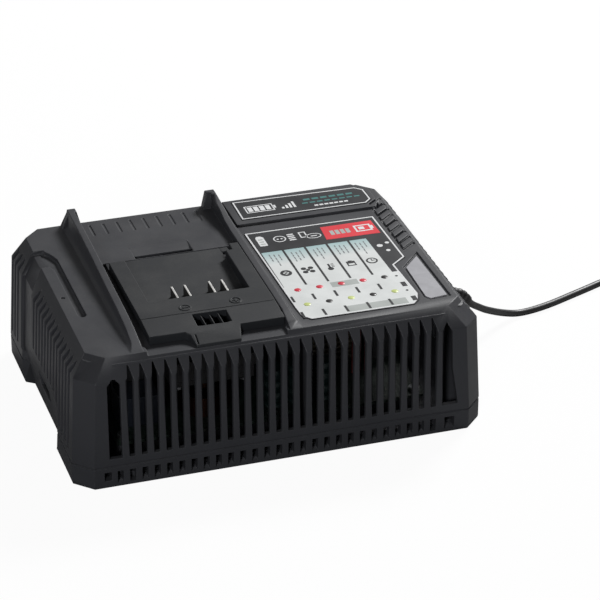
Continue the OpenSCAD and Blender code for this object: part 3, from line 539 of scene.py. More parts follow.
class Paint(Enum):
    """Every finish of the charger."""

    # Painted highlight: the housing's edges are lightened more than wear alone would make them.
    HOUSING = Moulded("housing_plastic", tone(54, 55, 59), 0.46, gloss=0.22, wear_and_highlight_gain=0.5)
    BASE = Moulded("base_plastic", tone(54, 55, 59), 0.50, gloss=0.2, dust=0.05)
    DOCK = Moulded("dock_plastic", tone(37, 39, 42), 0.52, gloss=0.16, cell=3400.0, depth=0.00003)
    INNER = Moulded("inner_plastic", tone(26, 26, 28), 0.55, dust=0.02)
    FAN = Moulded("fan_plastic", tone(24, 24, 26), 0.38, dust=0.05)
    DUCT = Moulded("duct_plastic", tone(28, 28, 31), 0.5, dust=0.05)
    PACKAGE = Moulded("package_resin", tone(20, 20, 22), 0.6, cell=5200.0, dust=0.0)
    RELAY = Moulded("relay_case", tone(26, 30, 38), 0.34, cell=2200.0, dust=0.0)
    RUBBER = Moulded("foot_rubber", tone(20, 20, 21), 0.82, cell=1800.0, depth=0.00008, dust=0.22, gloss=0.25)
    SHEATH = Moulded("cord_sheath", tone(19, 19, 21), 0.44, cell=1500.0, depth=0.00002, dust=0.03,
                     edge_radius=0.0003)
    BOOT = Moulded("boot_rubber", tone(21, 21, 23), 0.5, cell=1900.0, depth=0.00005, dust=0.03, gloss=0.42)
    PLUG = Moulded("plug_resin", tone(24, 24, 26), 0.42, cell=2400.0, dust=0.08, edge_radius=0.0008)
    TIE = Moulded("tie_plastic", tone(30, 30, 32), 0.36, cell=1600.0, dust=0.05)
    FERRITE = Moulded("ferrite", tone(44, 44, 46), 0.7, cell=1500.0, depth=0.0001, dust=0.0)
    BLADE = Metal("blade_edge", tone(240, 239, 236), 0.34, (5000.0, 500.0, 5000.0), 0.05, 0.9)
    # Painted shade: the blades' flat sides get this dark finish to stand in for the shade on them.
    BLADE_SHADED_SIDE = Metal("blade_side_painted_shade", tone(96, 94, 90), 0.42, (5000.0, 500.0, 5000.0), 0.3, 0.7)
    STEEL = Metal("screw_steel", tone(176, 178, 182), 0.30, (2600.0, 2600.0, 900.0), 0.25)
    PIN = Metal("pin_plating", tone(206, 204, 198), 0.22, (500.0, 5200.0, 5200.0), 0.2)
    SINK = Metal("sink_aluminium", tone(84, 85, 88), 0.55, (5200.0, 5200.0, 420.0), 0.1)
    BUSH = Metal("bush_bronze", tone(190, 142, 84), 0.4, (1200.0, 1200.0, 5200.0), 0.3)
    CLIP = Metal("clip_tin", tone(198, 198, 190), 0.28, (900.0, 5200.0, 5200.0), 0.2)
    # Painted shade: the copper and the tape are darkened to stand in for the shade inside the housing.
    COPPER_PAINTED_SHADE = Wound("coil_copper_painted_shade", tone(50, 30, 22), 0.4, turn=0.0005, metal=1.0)
    TAPE_PAINTED_SHADE = Wound("coil_tape", tone(46, 40, 26), 0.42, turn=0.0028, gap=0.86)
    SLEEVE = Wound("capacitor_sleeve", tone(20, 24, 46), 0.4, turn=0.0090, gap=0.88)
    SLEEVE_SMALL = Wound("capacitor_sleeve_small", tone(18, 36, 36), 0.4, turn=0.0060, gap=0.88)
    RED_LEAD = Wound("red_lead", tone(80, 18, 18), 0.42, turn=0.0011, gap=0.9)
    BROWN_LEAD = Wound("brown_lead", tone(112, 72, 40), 0.42, turn=0.0011, gap=0.9)
    BLACK_LEAD = Wound("black_lead", tone(26, 26, 28), 0.42, turn=0.0011, gap=0.9)
    # Painted shade: the boards' mask is darkened to stand in for the shade inside the housing.
    BOARD_PAINTED_SHADE = Laminate("board_laminate", tone(10, 24, 18), 0.5)
    GLASS = Clear("fuse_glass", tone(236, 240, 242), 0.05, passing=0.92, cloud=0.05, ior=1.52)
    GUIDE = Clear("guide_plastic", tone(232, 236, 228), 0.22, passing=0.55)
    CHIP = Clear("chip_resin", tone(238, 228, 150), 0.3, passing=0.2)
    WINDOW = Clear("window_plastic", tone(158, 158, 163), 0.46, passing=0.0, cloud=0.16)
    FILM = Printed("dark_film", tone(38, 39, 42), 0.44, fade=0.14, coat=0.04)
    INK_DARK = Printed("ink_dark", tone(34, 35, 37), 0.5, fade=0.12, coat=0.0)
    INK_WHITE = Printed("ink_white", tone(226, 227, 228), 0.4, fade=0.05, coat=0.1)
    INK_SILVER = Printed("ink_silver", tone(226, 229, 228), 0.36, fade=0.10, coat=0.2,
                         head=tone(160, 190, 192), head_from=-0.002, head_to=0.0125)
    INK_GREY = Printed("ink_grey", tone(178, 183, 180), 0.4, fade=0.10, coat=0.1)
    INK_RED = Printed("ink_red", tone(222, 58, 68), 0.4, fade=0.06, coat=0.1)
    INK_TEAL = Printed("ink_teal", tone(74, 128, 126), 0.4, fade=0.10, coat=0.1)
    INK_LINE = Printed("ink_line", tone(120, 124, 126), 0.45, fade=0.1, coat=0.1)
    LENS_RED = Printed("lens_red", tone(214, 62, 78), 0.35, fade=0.10, coat=0.15)
    LENS_GREEN = Printed("lens_green", tone(208, 220, 142), 0.35, fade=0.10, coat=0.15)
    LENS_DARK = Printed("lens_dark", tone(48, 46, 46), 0.35, fade=0.10, coat=0.15)

    def __call__(self) -> bpy.types.Material:
        """The finish's material."""
        return self.value.material()


# Mesh helpers

MERGE = 0.002  # corners closer than this are one
SLIVER = 0.001  # faces thinner than this go
FLAT = math.radians(0.4)  # faces that meet at less are one
BESIDE = 0.01  # how far off a face a ray starts
NO_AREA = 0.5  # faces whose normals are shorter have no area
UNDERSIDE = -0.5  # faces whose normals point further down stay sharp
ROD_SIDES = 32
RUN_ON = 0.97  # cosine between edges that run on in one line
ROUNDING_TRIES = 7
STAY_SHARP = 1.6  # widths around a crossing within which edges stay sharp


class Piece:
    """A piece in the making: one mesh in millimetres with the finishes of its faces."""

    def __init__(self, *paints: Paint, mesh: Mesh | None = None) -> None:
        """Starts on a ready mesh or an empty one; the finishes stand in the order of the material numbers."""
        self.mesh = bmesh.new() if mesh is None else mesh
        self.paints = list(paints)

    def use(self, faces: Iterable[bmesh.types.BMFace], paint: Paint | None) -> None:
        """Gives faces a finish, which joins the piece's list if it is new.

        Args:
            faces: The faces.
            paint: Their finish, or None to leave them as they are.
        """
        if paint is None:
            return
        if paint not in self.paints:
            self.paints.append(paint)
        for face in faces:
            face.material_index = self.paints.index(paint)

    def block(self, low: Point3, high: Point3) -> None:
        """Adds a box between its lowest and its highest corner."""
        size, middle = Vector(high) - Vector(low), (Vector(high) + Vector(low)) / 2
        bmesh.ops.create_cube(self.mesh, size=1.0,
                              matrix=Matrix.Translation(middle) @ Matrix.Diagonal((*size, 1.0)))

    def rod(self, start: Point3, end: Point3, radius: float) -> None:
        """Adds a closed cylinder between two points.

        Args:
            start: Middle of the first end.
            end: Middle of the last end.
            radius: Its radius.
        """
        a, b = Vector(start), Vector(end)
        turn = (b - a).to_track_quat("Z", "Y").to_matrix().to_4x4()
        bmesh.ops.create_cone(self.mesh, cap_ends=True, segments=ROD_SIDES, radius1=radius, radius2=radius,
                              depth=(b - a).length, matrix=Matrix.Translation((a + b) / 2) @ turn)

    def raised(self, corners: list[Corner], faces: list[bmesh.types.BMFace], way: Point3,
               paint: Paint | None) -> None:
        """Makes a solid of flat faces.

        Args:
            corners: Corners of the outline.
            faces: The faces.
            way: How far and in what direction they are raised.
            paint: Finish of the solid.
        """
        made = bmesh.ops.extrude_face_region(self.mesh, geom=faces)["geom"]
        tops = [g for g in made if isinstance(g, Corner)]
        bmesh.ops.translate(self.mesh, vec=way, verts=tops)
        self.use({f for v in (*tops, *corners) for f in v.link_faces}, paint)

    def plate(self, outline: Sequence[Point2], z0: float, z1: float, paint: Paint | None = None,
              rim: float = 0.0) -> None:
        """Adds a flat plate, or only the rim of one.

        Args:
            outline: Plan points in order.
            z0: Height of its underside.
            z1: Height of its top.
            paint: Finish of its faces.
            rim: Width of the rim that is kept, or 0 for the whole plate.
        """
        corners = [self.mesh.verts.new((x, y, z0)) for x, y in outline]
        faces = [self.mesh.faces.new(corners)]
        if rim:
            faces[0].normal_update()
            around = bmesh.ops.inset_region(self.mesh, faces=faces, thickness=rim, use_even_offset=True,
                                            use_boundary=True)["faces"]
            bmesh.ops.delete(self.mesh, geom=faces, context="FACES_ONLY")
            faces = around
        self.raised(corners, faces, (0, 0, z1 - z0), paint)

    def prism(self, side: Sequence[Point2], x0: float, x1: float) -> None:
        """Adds a prism along X.

        Args:
            side: Outline in Y and Z.
            x0: Where it starts.
            x1: Where it ends.
        """
        corners = [self.mesh.verts.new((x0, y, z)) for y, z in side]
        self.raised(corners, [self.mesh.faces.new(corners)], (x1 - x0, 0, 0), None)

    def finish(self, name: str, slot: str, replaces: Sequence[str] = (),
               smooth: float = 35.0) -> bpy.types.Object:
        """Writes the piece as an object in metres that rides on the housing.

        Args:
            name: Name of the piece.
            slot: Material slot of the record; not used.
            replaces: Nodes that it stands for.
            smooth: Angle up to which faces shade as one, in degrees.

        Returns:
            The object.
        """
        bmesh.ops.recalc_face_normals(self.mesh, faces=self.mesh.faces)
        bmesh.ops.scale(self.mesh, vec=(MM, MM, MM), verts=self.mesh.verts)
        data = bpy.data.meshes.new(name)
        self.mesh.to_mesh(data)
        self.mesh.free()
        for paint in self.paints:
            data.materials.append(paint())
        for face in data.polygons:
            face.use_smooth = True
        data.set_sharp_from_angle(angle=math.radians(smooth))
        made = placed(name, data)
        made.modifiers.new("weighted", "WEIGHTED_NORMAL").keep_sharp = True
        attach(made, HOUSING)
        if replaces:
            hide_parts(*replaces)
        LOG.info("%s: %d faces", name, len(data.polygons))
        return made


def placed(name: str, data: bpy.types.ID) -> bpy.types.Object:
    """Puts data into the scene.

    Args:
        name: Name of the object.
        data: Its mesh, curve, lamp or camera.

    Returns:
        The object.
    """
    made = bpy.data.objects.new(name, data)
    bpy.context.scene.collection.objects.link(made)
    return made


def crossings(mesh: Mesh) -> list[Vector]:
    """Finds places where the outline of a face runs over itself.

    Args:
        mesh: The mesh that is looked at.

    Returns:
        One point for each crossing.
    """
    found = []
    for face in mesh.faces:
        if len(face.verts) < 4 or face.normal.length < NO_AREA:
            continue
        flat = face.normal.to_track_quat("Z", "Y").inverted()
        places = [v.co.copy() for v in face.verts]
        points = [(flat @ co).xy for co in places]
        count = len(points)
        for i in range(count):
            a, b = points[i], points[(i + 1) % count]
            low, high = min(a.x, b.x), max(a.x, b.x)
            for k in range(i + 2, count - (i == 0)):
                c, d = points[k], points[(k + 1) % count]
                if max(c.x, d.x) < low or min(c.x, d.x) > high:
                    continue
                if intersect_line_line_2d(a, b, c, d) is not None:
                    found.append((places[i] + places[(i + 1) % count]) / 2)
    return found


def distance(point: Vector, edge: Edge) -> float:
    """Measures the distance from a point to an edge.

    Args:
        point: The point.
        edge: The edge.

    Returns:
        The distance in millimetres.
    """
    a, b = (v.co for v in edge.verts)
    along = b - a
    share = min(1.0, max(0.0, (point - a).dot(along) / max(along.length_squared, 1e-9)))
    return (point - a - share * along).length


def roomy(edge: Edge, least: float) -> bool:
    """Says whether an edge and its side neighbours are long enough to be rounded.

    Args:
        edge: The edge.
        least: The length that is enough.

    Returns:
        True if they are.
    """
    if edge.calc_length() < least:
        return False
    for corner in edge.verts:
        way = (edge.other_vert(corner).co - corner.co).normalized()
        for other in corner.link_edges:
            side = other.other_vert(corner).co - corner.co
            if other is not edge and side.length < least and abs(side.normalized().dot(way)) < RUN_ON:
                return False
    return True


def bevelled(mesh: Mesh, edges: Iterable[Edge], width: float, segments: int = 2, clamp: bool = False) -> None:
    """Rounds edges of a mesh; clamp keeps neighbouring roundings from crossing."""
    bmesh.ops.bevel(mesh, geom=list(edges), offset=width, offset_type="OFFSET", affect="EDGES",
                    segments=segments, profile=0.5, material=-1, clamp_overlap=clamp, loop_slide=True)


def rounded(mesh: Mesh, width: float, segments: int = 2, least: float = 14.0,
            wanted: Callable[[Edge], bool] = lambda edge: True, room: float = 2.3) -> Mesh:
    """Rounds the outer edges that have room for it, and leaves those whose rounding would cross another.

    Args:
        mesh: The sharp mesh, which is freed.
        width: Width of the rounding.
        segments: Number of steps in it.
        least: Smallest angle between the faces, in degrees.
        wanted: Says which of the edges are rounded.
        room: How many widths of face an edge needs beside it.

    Returns:
        The rounded mesh.
    """
    mesh.normal_update()
    tree = BVHTree.FromBMesh(mesh)
    for group in (mesh.edges, mesh.faces, mesh.verts):
        group.index_update()
    open_faces = {f.index for f in mesh.faces if f.normal.z > UNDERSIDE and tree.ray_cast(
        f.calc_center_median_weighted() + BESIDE * f.normal, f.normal)[0] is None}
    chosen = {e.index for e in mesh.edges
              if e.is_manifold and e.calc_face_angle_signed(0) > math.radians(least)
              and roomy(e, room * width) and any(f.index in open_faces for f in e.link_faces) and wanted(e)}
    trial = mesh
    for _ in range(ROUNDING_TRIES):
        trial = mesh.copy()
        trial.edges.ensure_lookup_table()
        bevelled(trial, (trial.edges[i] for i in chosen), width, segments)
        trial.normal_update()
        spots = crossings(trial)
        LOG.info("rounding %.2f: %d edges, %d crossings", width, len(chosen), len(spots))
        if not spots:
            break
        mesh.edges.ensure_lookup_table()
        near = {i for i in chosen if any(distance(p, mesh.edges[i]) < STAY_SHARP * width for p in spots)}
        if not near:
            break
        chosen -= near
        trial.free()
        trial = mesh
    if trial is not mesh:
        mesh.free()
    return trial


def whole_faces(mesh: Mesh) -> Mesh:
    """Joins the triangles of each flat face and gives all faces the first finish.

    Args:
        mesh: The mesh, which is changed.

    Returns:
        The same mesh.
    """
    bmesh.ops.dissolve_limit(mesh, angle_limit=FLAT, verts=mesh.verts, edges=mesh.edges,
                             delimit={"NORMAL"})
    for face in mesh.faces:
        face.material_index = 0
    return mesh


def node_copy(node: str) -> Mesh:
    """Copies a CAD node's mesh in millimetres, merged, with whole faces.

    Args:
        node: The CAD node.

    Returns:
        The copy.
    """
    mesh = bmesh.new()
    mesh.from_mesh(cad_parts[node].data)
    bmesh.ops.scale(mesh, vec=(1 / MM,) * 3, verts=mesh.verts)
    bmesh.ops.remove_doubles(mesh, verts=mesh.verts, dist=MERGE)
    bmesh.ops.dissolve_degenerate(mesh, dist=SLIVER, edges=mesh.edges)
    return whole_faces(mesh)


def carved(mesh: Mesh, tool: Mesh, way: str = "DIFFERENCE") -> Mesh:
    """Cuts a closed mesh with another, or joins the two.

    Args:
        mesh: The mesh that is cut, which is freed.
        tool: The mesh that cuts, which is freed.
        way: Blender's name of the operation.

    Returns:
        The new mesh.
    """
    bmesh.ops.recalc_face_normals(tool, faces=tool.faces)
    objects = []
    for name, part in (("blank", mesh), ("tool", tool)):
        data = bpy.data.meshes.new(name)
        part.to_mesh(data)
        part.free()
        objects.append(placed(name, data))
    cut = objects[0].modifiers.new("cut", "BOOLEAN")
    cut.operation, cut.object, cut.solver = way, objects[1], "EXACT"
    shaped = objects[0].evaluated_get(bpy.context.evaluated_depsgraph_get())
    result = bmesh.new()
    result.from_mesh(shaped.to_mesh())
    for made in objects:
        bpy.data.meshes.remove(made.data)
    bmesh.ops.remove_doubles(result, verts=result.verts, dist=MERGE)
    return whole_faces(result)


def paint_nodes(finishes: dict[str, Paint]) -> None:
    """Gives CAD nodes that stay in sight their finishes.

    Args:
        finishes: The finish of each node.
    """
    for node, paint in finishes.items():
        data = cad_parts[node].data
        data.materials.clear()
        data.materials.append(paint())
        LOG.info("%s: finish %s", node, paint.value.name)


# Sub-assemblies


@dataclass(frozen=True)
class Lamp:
    """One soft square lamp; places and sizes in metres, power in watts."""

    name: str
    place: Point3
    aim: Point3
    size: float
    power: float

    def build(self) -> None:
        """Adds the lamp to the scene."""
        data = bpy.data.lights.new(self.name, "AREA")
        data.size, data.energy = self.size, self.power
        made = placed(self.name, data)
        made.location = self.place
        made.rotation_mode = "QUATERNION"
        made.rotation_quaternion = (Vector(self.aim) - Vector(self.place)).to_track_quat("-Z", "Y")


@dataclass
class Studio:
    """Camera, floor and lights."""

    place: Point3 = (-332.15, -1118.73, 681.40)
    azimuth: float = -17.9632
    elevation: float = 28.5258
    roll: float = 0.24298
    lens: float = 165.385
    sensor: float = 36.0
    clip: Point2 = (0.05, 20.0)
    floor_half: float = 4.0
    pale: Point2 = (238, 244)
    dull: Point2 = (112, 118)
    floor_glow: float = 0.955
    floor_shine: float = 0.5
    soft_light: float = 0.03
    world_shine: float = 0.25
    lamps: tuple[Lamp, ...] = (
        Lamp("key", (1.0, 0.85, 1.15), (0.0, 0.0, 0.05), 0.45, 36.0),
        Lamp("front", (-0.8, -1.5, 0.72), (0.0, 0.0, 0.04), 0.3, 13.0),
        Lamp("left", (-1.5, -0.2, 0.15), (0.0, 0.0, 0.03), 0.4, 0.8))

    def camera(self) -> None:
        """Makes the camera."""
        a, e, roll = (math.radians(x) for x in (self.azimuth, self.elevation, self.roll))
        back = Vector((math.sin(a) * math.cos(e), -math.cos(a) * math.cos(e), math.sin(e)))
        level = Vector((math.cos(a), math.sin(a), 0.0))
        up = back.cross(level)
        right = math.cos(roll) * level + math.sin(roll) * up
        top = -math.sin(roll) * level + math.cos(roll) * up
        data = bpy.data.cameras.new("camera")
        data.lens, data.sensor_width = self.lens, self.sensor
        data.clip_start, data.clip_end = self.clip
        made = placed("camera", data)
        turn = Matrix((right, top, back)).transposed().to_4x4()
        made.matrix_world = Matrix.Translation(Vector(self.place) * MM) @ turn
        bpy.context.scene.camera = made

    def floor(self) -> None:
        """Makes the pale floor, which shows white and keeps a soft shadow."""
        bm = bmesh.new()
        bmesh.ops.create_grid(bm, x_segments=2, y_segments=2, size=self.floor_half)
        data = bpy.data.meshes.new("floor")
        bm.to_mesh(data)
        bm.free()
        material = bpy.data.materials.new("floor_paper")
        material.use_nodes = True
        w = Wiring(material.node_tree)
        fibre = w.noise(w.place(), 900.0, 3.0)
        path = w.add("LightPath").outputs
        pale, dull = (w.blend(fibre, *(tone(v, v, v) for v in pair)) for pair in (self.pale, self.dull))
        shine = w.sums("MULTIPLY", path["Is Glossy Ray"], self.floor_shine)
        seen = w.sums("MAXIMUM", path["Is Camera Ray"], shine)
        paper = w.add("BsdfDiffuse", {"Color": w.blend(seen, dull, pale)})
        glow = w.add("Emission", {"Strength": 1.0})
        share = w.sums("MULTIPLY", path["Is Camera Ray"], self.floor_glow)
        mixed = w.add("MixShader", {0: share, 1: paper.outputs[0], 2: glow.outputs[0]})
        w.add("OutputMaterial", {"Surface": mixed.outputs[0]})
        data.materials.append(material)
        placed("floor", data)

    def world(self) -> None:
        """Makes the world, which shows white and lights softly."""
        world = bpy.data.worlds.new("studio")
        world.use_nodes = True
        w = Wiring(world.node_tree)
        path = w.add("LightPath").outputs
        soft, bright = (w.add("Background", {"Color": (1.0, 1.0, 1.0, 1.0), "Strength": strength}).outputs[0]
                        for strength in (self.soft_light, 1.0))
        seen = w.sums("MAXIMUM", path["Is Camera Ray"], path["Is Transmission Ray"])
        seen = w.sums("MAXIMUM", seen, w.sums("MULTIPLY", path["Is Glossy Ray"], self.world_shine))
        w.add("OutputWorld", {"Surface": w.add("MixShader", {0: seen, 1: soft, 2: bright}).outputs[0]})
        bpy.context.scene.world = world
        bpy.context.scene.view_settings.view_transform = "Standard"

    def build(self) -> None:
        """Makes the whole studio."""
        self.camera()
        self.floor()
        self.world()
        for lamp in self.lamps:
            lamp.build()
        LOG.info("studio ready")


@dataclass
class MainsLead:
    """The lead from its strain relief to the coil of spare length and the plug."""

    diameter: float = 3.6
    length: float = 1800.0
    exit: Point3 = (120.1, 5.0, 25.0)
    route: tuple[Point3, ...] = (
        (120.1, 5, 25), (122, 6, 22.5), (124.4, 7.4, 20.2), (127.6, 9.2, 17.7), (132.4, 12, 14),
        (137.6, 15, 10.6), (142.6, 18, 7.5), (147.6, 20.5, 4.9), (152.6, 22.4, 2.9), (157.2, 23.5, 2),
        (162.6, 24.3, 1.9), (168.6, 25.7, 1.9), (175, 27.7, 1.9), (181.6, 30.2, 1.9), (188.2, 32.9, 1.9),
        (195, 35.6, 1.9), (201.8, 38.4, 1.9), (208.6, 41.2, 1.9), (216, 43.2, 1.9), (224, 43.4, 1.9),
        (231.5, 41.8, 1.9), (239, 39.7, 1.9), (246, 39.2, 1.9))
    into_coil: Point3 = (253.0, 38.95, 1.87)
    boot_route: tuple[Point3, ...] = (
        (101.5, 4, 30), (105, 4, 30.3), (108.5, 4, 30.6), (111.5, 4, 30.7), (114, 4.1, 30.3),
        (116.2, 4.2, 29.2), (118.2, 4.4, 27.5), (120.1, 5, 25))
    boot_radii: tuple[float, ...] = (3.5, 3.3, 3.1, 2.95, 2.8, 2.65, 2.5, 2.35)
    boot_sides: int = 28
    rib_pitch: int = 6
    rib_low: tuple[int, ...] = (0, 1, 5)
    rib_depth: float = 0.25
    plain_ends: tuple[int, int] = (5, 3)
    collar: tuple[Point2, float] = ((92.2, 93.8), 6.5)
    neck: tuple[Point2, float] = ((93.2, 102.0), 4.65)
    coil_centre: Point2 = (262.0, 64.0)
    columns: tuple[float, ...] = (25.1, 20.5, 15.9)
    rows: tuple[float, ...] = (1.85, 5.45, 9.05, 12.65)
    steps_a_turn: int = 36
    steps_across: int = 8
    leave_angle: float = 38.0
    leave_radius: float = 29.6
    leave_steps: int = 8
    level_run: float = 2.0
    plug_end: Point3 = (302.0, 50.5, 6.8)
    plug_rounding: float = 1.2

    @staticmethod
    def smoothed(points: Sequence[Point3], parts: int) -> list[Vector]:
        """Runs a smooth curve through points.

        Args:
            points: Points that the curve runs through.
            parts: Steps between two of them.

        Returns:
            The finer points.
        """
        p = [Vector(q) for q in points]
        p = [2 * p[0] - p[1], *p, 2 * p[-1] - p[-2]]
        fine = []
        for i in range(1, len(p) - 2):
            a, b, c, d = p[i - 1 : i + 3]
            for t in (k / parts for k in range(parts)):
                fine.append(0.5 * (2 * b + (c - a) * t + (2 * a - 5 * b + 4 * c - d) * t * t
                                   + (3 * b - a - 3 * c + d) * t**3))
        return [*fine, p[-2]]

    def coil(self) -> list[Vector]:
        """Winds the coil's turns, from its outside at the floor.

        Returns:
            Points of the centreline.
        """
        lanes = []
        for k, row in enumerate(self.rows):
            lanes += [(r, row) for r in (self.columns if k % 2 == 0 else reversed(self.columns))]
        points = []
        middle_x, middle_y = self.coil_centre
        for n, (radius, height) in enumerate(lanes):
            before = lanes[max(0, n - 1)]
            for k in range(self.steps_a_turn):
                share = eased(min(1.0, k / self.steps_across))
                r = before[0] + (radius - before[0]) * share
                z = before[1] + (height - before[1]) * share
                angle = -math.pi / 2 + 2 * math.pi * k / self.steps_a_turn
                points.append(Vector((middle_x + r * math.cos(angle), middle_y + r * math.sin(angle), z)))
        return points

    def tail(self, height: float) -> list[Vector]:
        """Leads from the coil's last turn down to the plug.

        Args:
            height: Height of the last turn.

        Returns:
            Points of the centreline.
        """
        outer, bend, arc = self.columns[0], self.leave_radius, self.leave_steps
        middle_x, middle_y = self.coil_centre
        leave = math.radians(self.leave_angle)
        steps = round(self.steps_a_turn * self.leave_angle / 360)
        flat = [Vector((middle_x + outer * math.sin(a), middle_y - outer * math.cos(a), 0.0))
                for a in (leave * k / steps for k in range(steps + 1))]
        start = flat[-1]
        for a in (leave * (1 - k / arc) for k in range(1, arc + 1)):
            turned = Vector((math.sin(leave) - math.sin(a), math.cos(a) - math.cos(leave), 0.0))
            flat.append(start + bend * turned)
        last, end = flat[-1].x, Vector(self.plug_end)
        flat += [Vector((last + (end.x - last) * k / 3, end.y, 0.0)) for k in (1, 2, 3)]
        way = [0.0]
        for before, after in zip(flat, flat[1:]):
            way.append(way[-1] + (after - before).length)
        from_way = way[steps] + self.level_run
        for point, at in zip(flat, way):
            share = min(1.0, max(0.0, (at - from_way) / (way[-1] - from_way)))
            point.z = height + (end.z - height) * eased(share)
        return flat

    def lead(self) -> bpy.types.Object:
        """Makes the lead itself.

        Returns:
            The lead.
        """
        turns = self.coil()
        points = [*self.smoothed(self.route, 4), Vector(self.into_coil), *turns, *self.tail(turns[-1].z)]
        curve = bpy.data.curves.new("mains_lead", "CURVE")
        curve.dimensions = "3D"
        spline = curve.splines.new("POLY")
        spline.points.add(len(points) - 1)
        for place, point in zip(points, spline.points):
            point.co = (*(place * MM), 1.0)
        curve.bevel_depth = self.diameter / 2 * MM
        curve.bevel_resolution = 5
        curve.use_fill_caps = True
        spline.use_smooth = True
        curve.materials.append(Paint.SHEATH())
        lead = placed("mains_lead", curve)
        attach(lead, HOUSING)
        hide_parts("cord_tube", "cord_coil")
        LOG.info("mains_lead: %.0f mm long", sum((b - a).length for a, b in zip(points, points[1:])))
        return lead

    def boot(self) -> bpy.types.Object:
        """Makes the tapered strain relief with its ribs.

        Returns:
            The strain relief.
        """
        piece = Piece(Paint.BOOT)
        centres = self.smoothed(self.boot_route, self.rib_pitch)
        count = len(centres)
        rings = []
        for n, centre in enumerate(centres):
            at = n / (count - 1) * (len(self.boot_radii) - 1)
            i = min(int(at), len(self.boot_radii) - 2)
            radius = self.boot_radii[i] + (self.boot_radii[i + 1] - self.boot_radii[i]) * (at - i)
            if self.plain_ends[0] < n < count - self.plain_ends[1] and n % self.rib_pitch in self.rib_low:
                radius -= self.rib_depth
            ahead = (centres[min(n + 1, count - 1)] - centres[max(n - 1, 0)]).normalized()
            turn = ahead.to_track_quat("Z", "Y").to_matrix().to_4x4()
            ring = bmesh.ops.create_circle(piece.mesh, segments=self.boot_sides, radius=radius,
                                           matrix=Matrix.Translation(centre) @ turn)["verts"]
            rings.append({e for v in ring for e in v.link_edges})
        for a, b in zip(rings, rings[1:]):
            bmesh.ops.bridge_loops(piece.mesh, edges=[*a, *b])
        bmesh.ops.holes_fill(piece.mesh, edges=[*rings[0], *rings[-1]], sides=0)
        _, y, z = self.boot_route[0]
        for (x0, x1), radius in (self.collar, self.neck):
            piece.rod((x0, y, z), (x1, y, z), radius)
        return piece.finish("strain_relief", "cord_rubber", ["cord_boot"], smooth=40)

    def build(self) -> None:
        """Makes the lead, its boot, its tie and its plug."""
        lead = self.lead()
        plug = Piece(Paint.PLUG, mesh=rounded(node_copy("plug_body"), self.plug_rounding, 3))
        body = plug.finish("plug_shell", "plug_plastic", ["plug_body"])
        boot = self.boot()
        paint_nodes({"cord_tie": Paint.TIE, "plug_boot": Paint.BOOT, "plug_pins": Paint.PIN,
                     "cord_inlet": Paint.SHEATH})


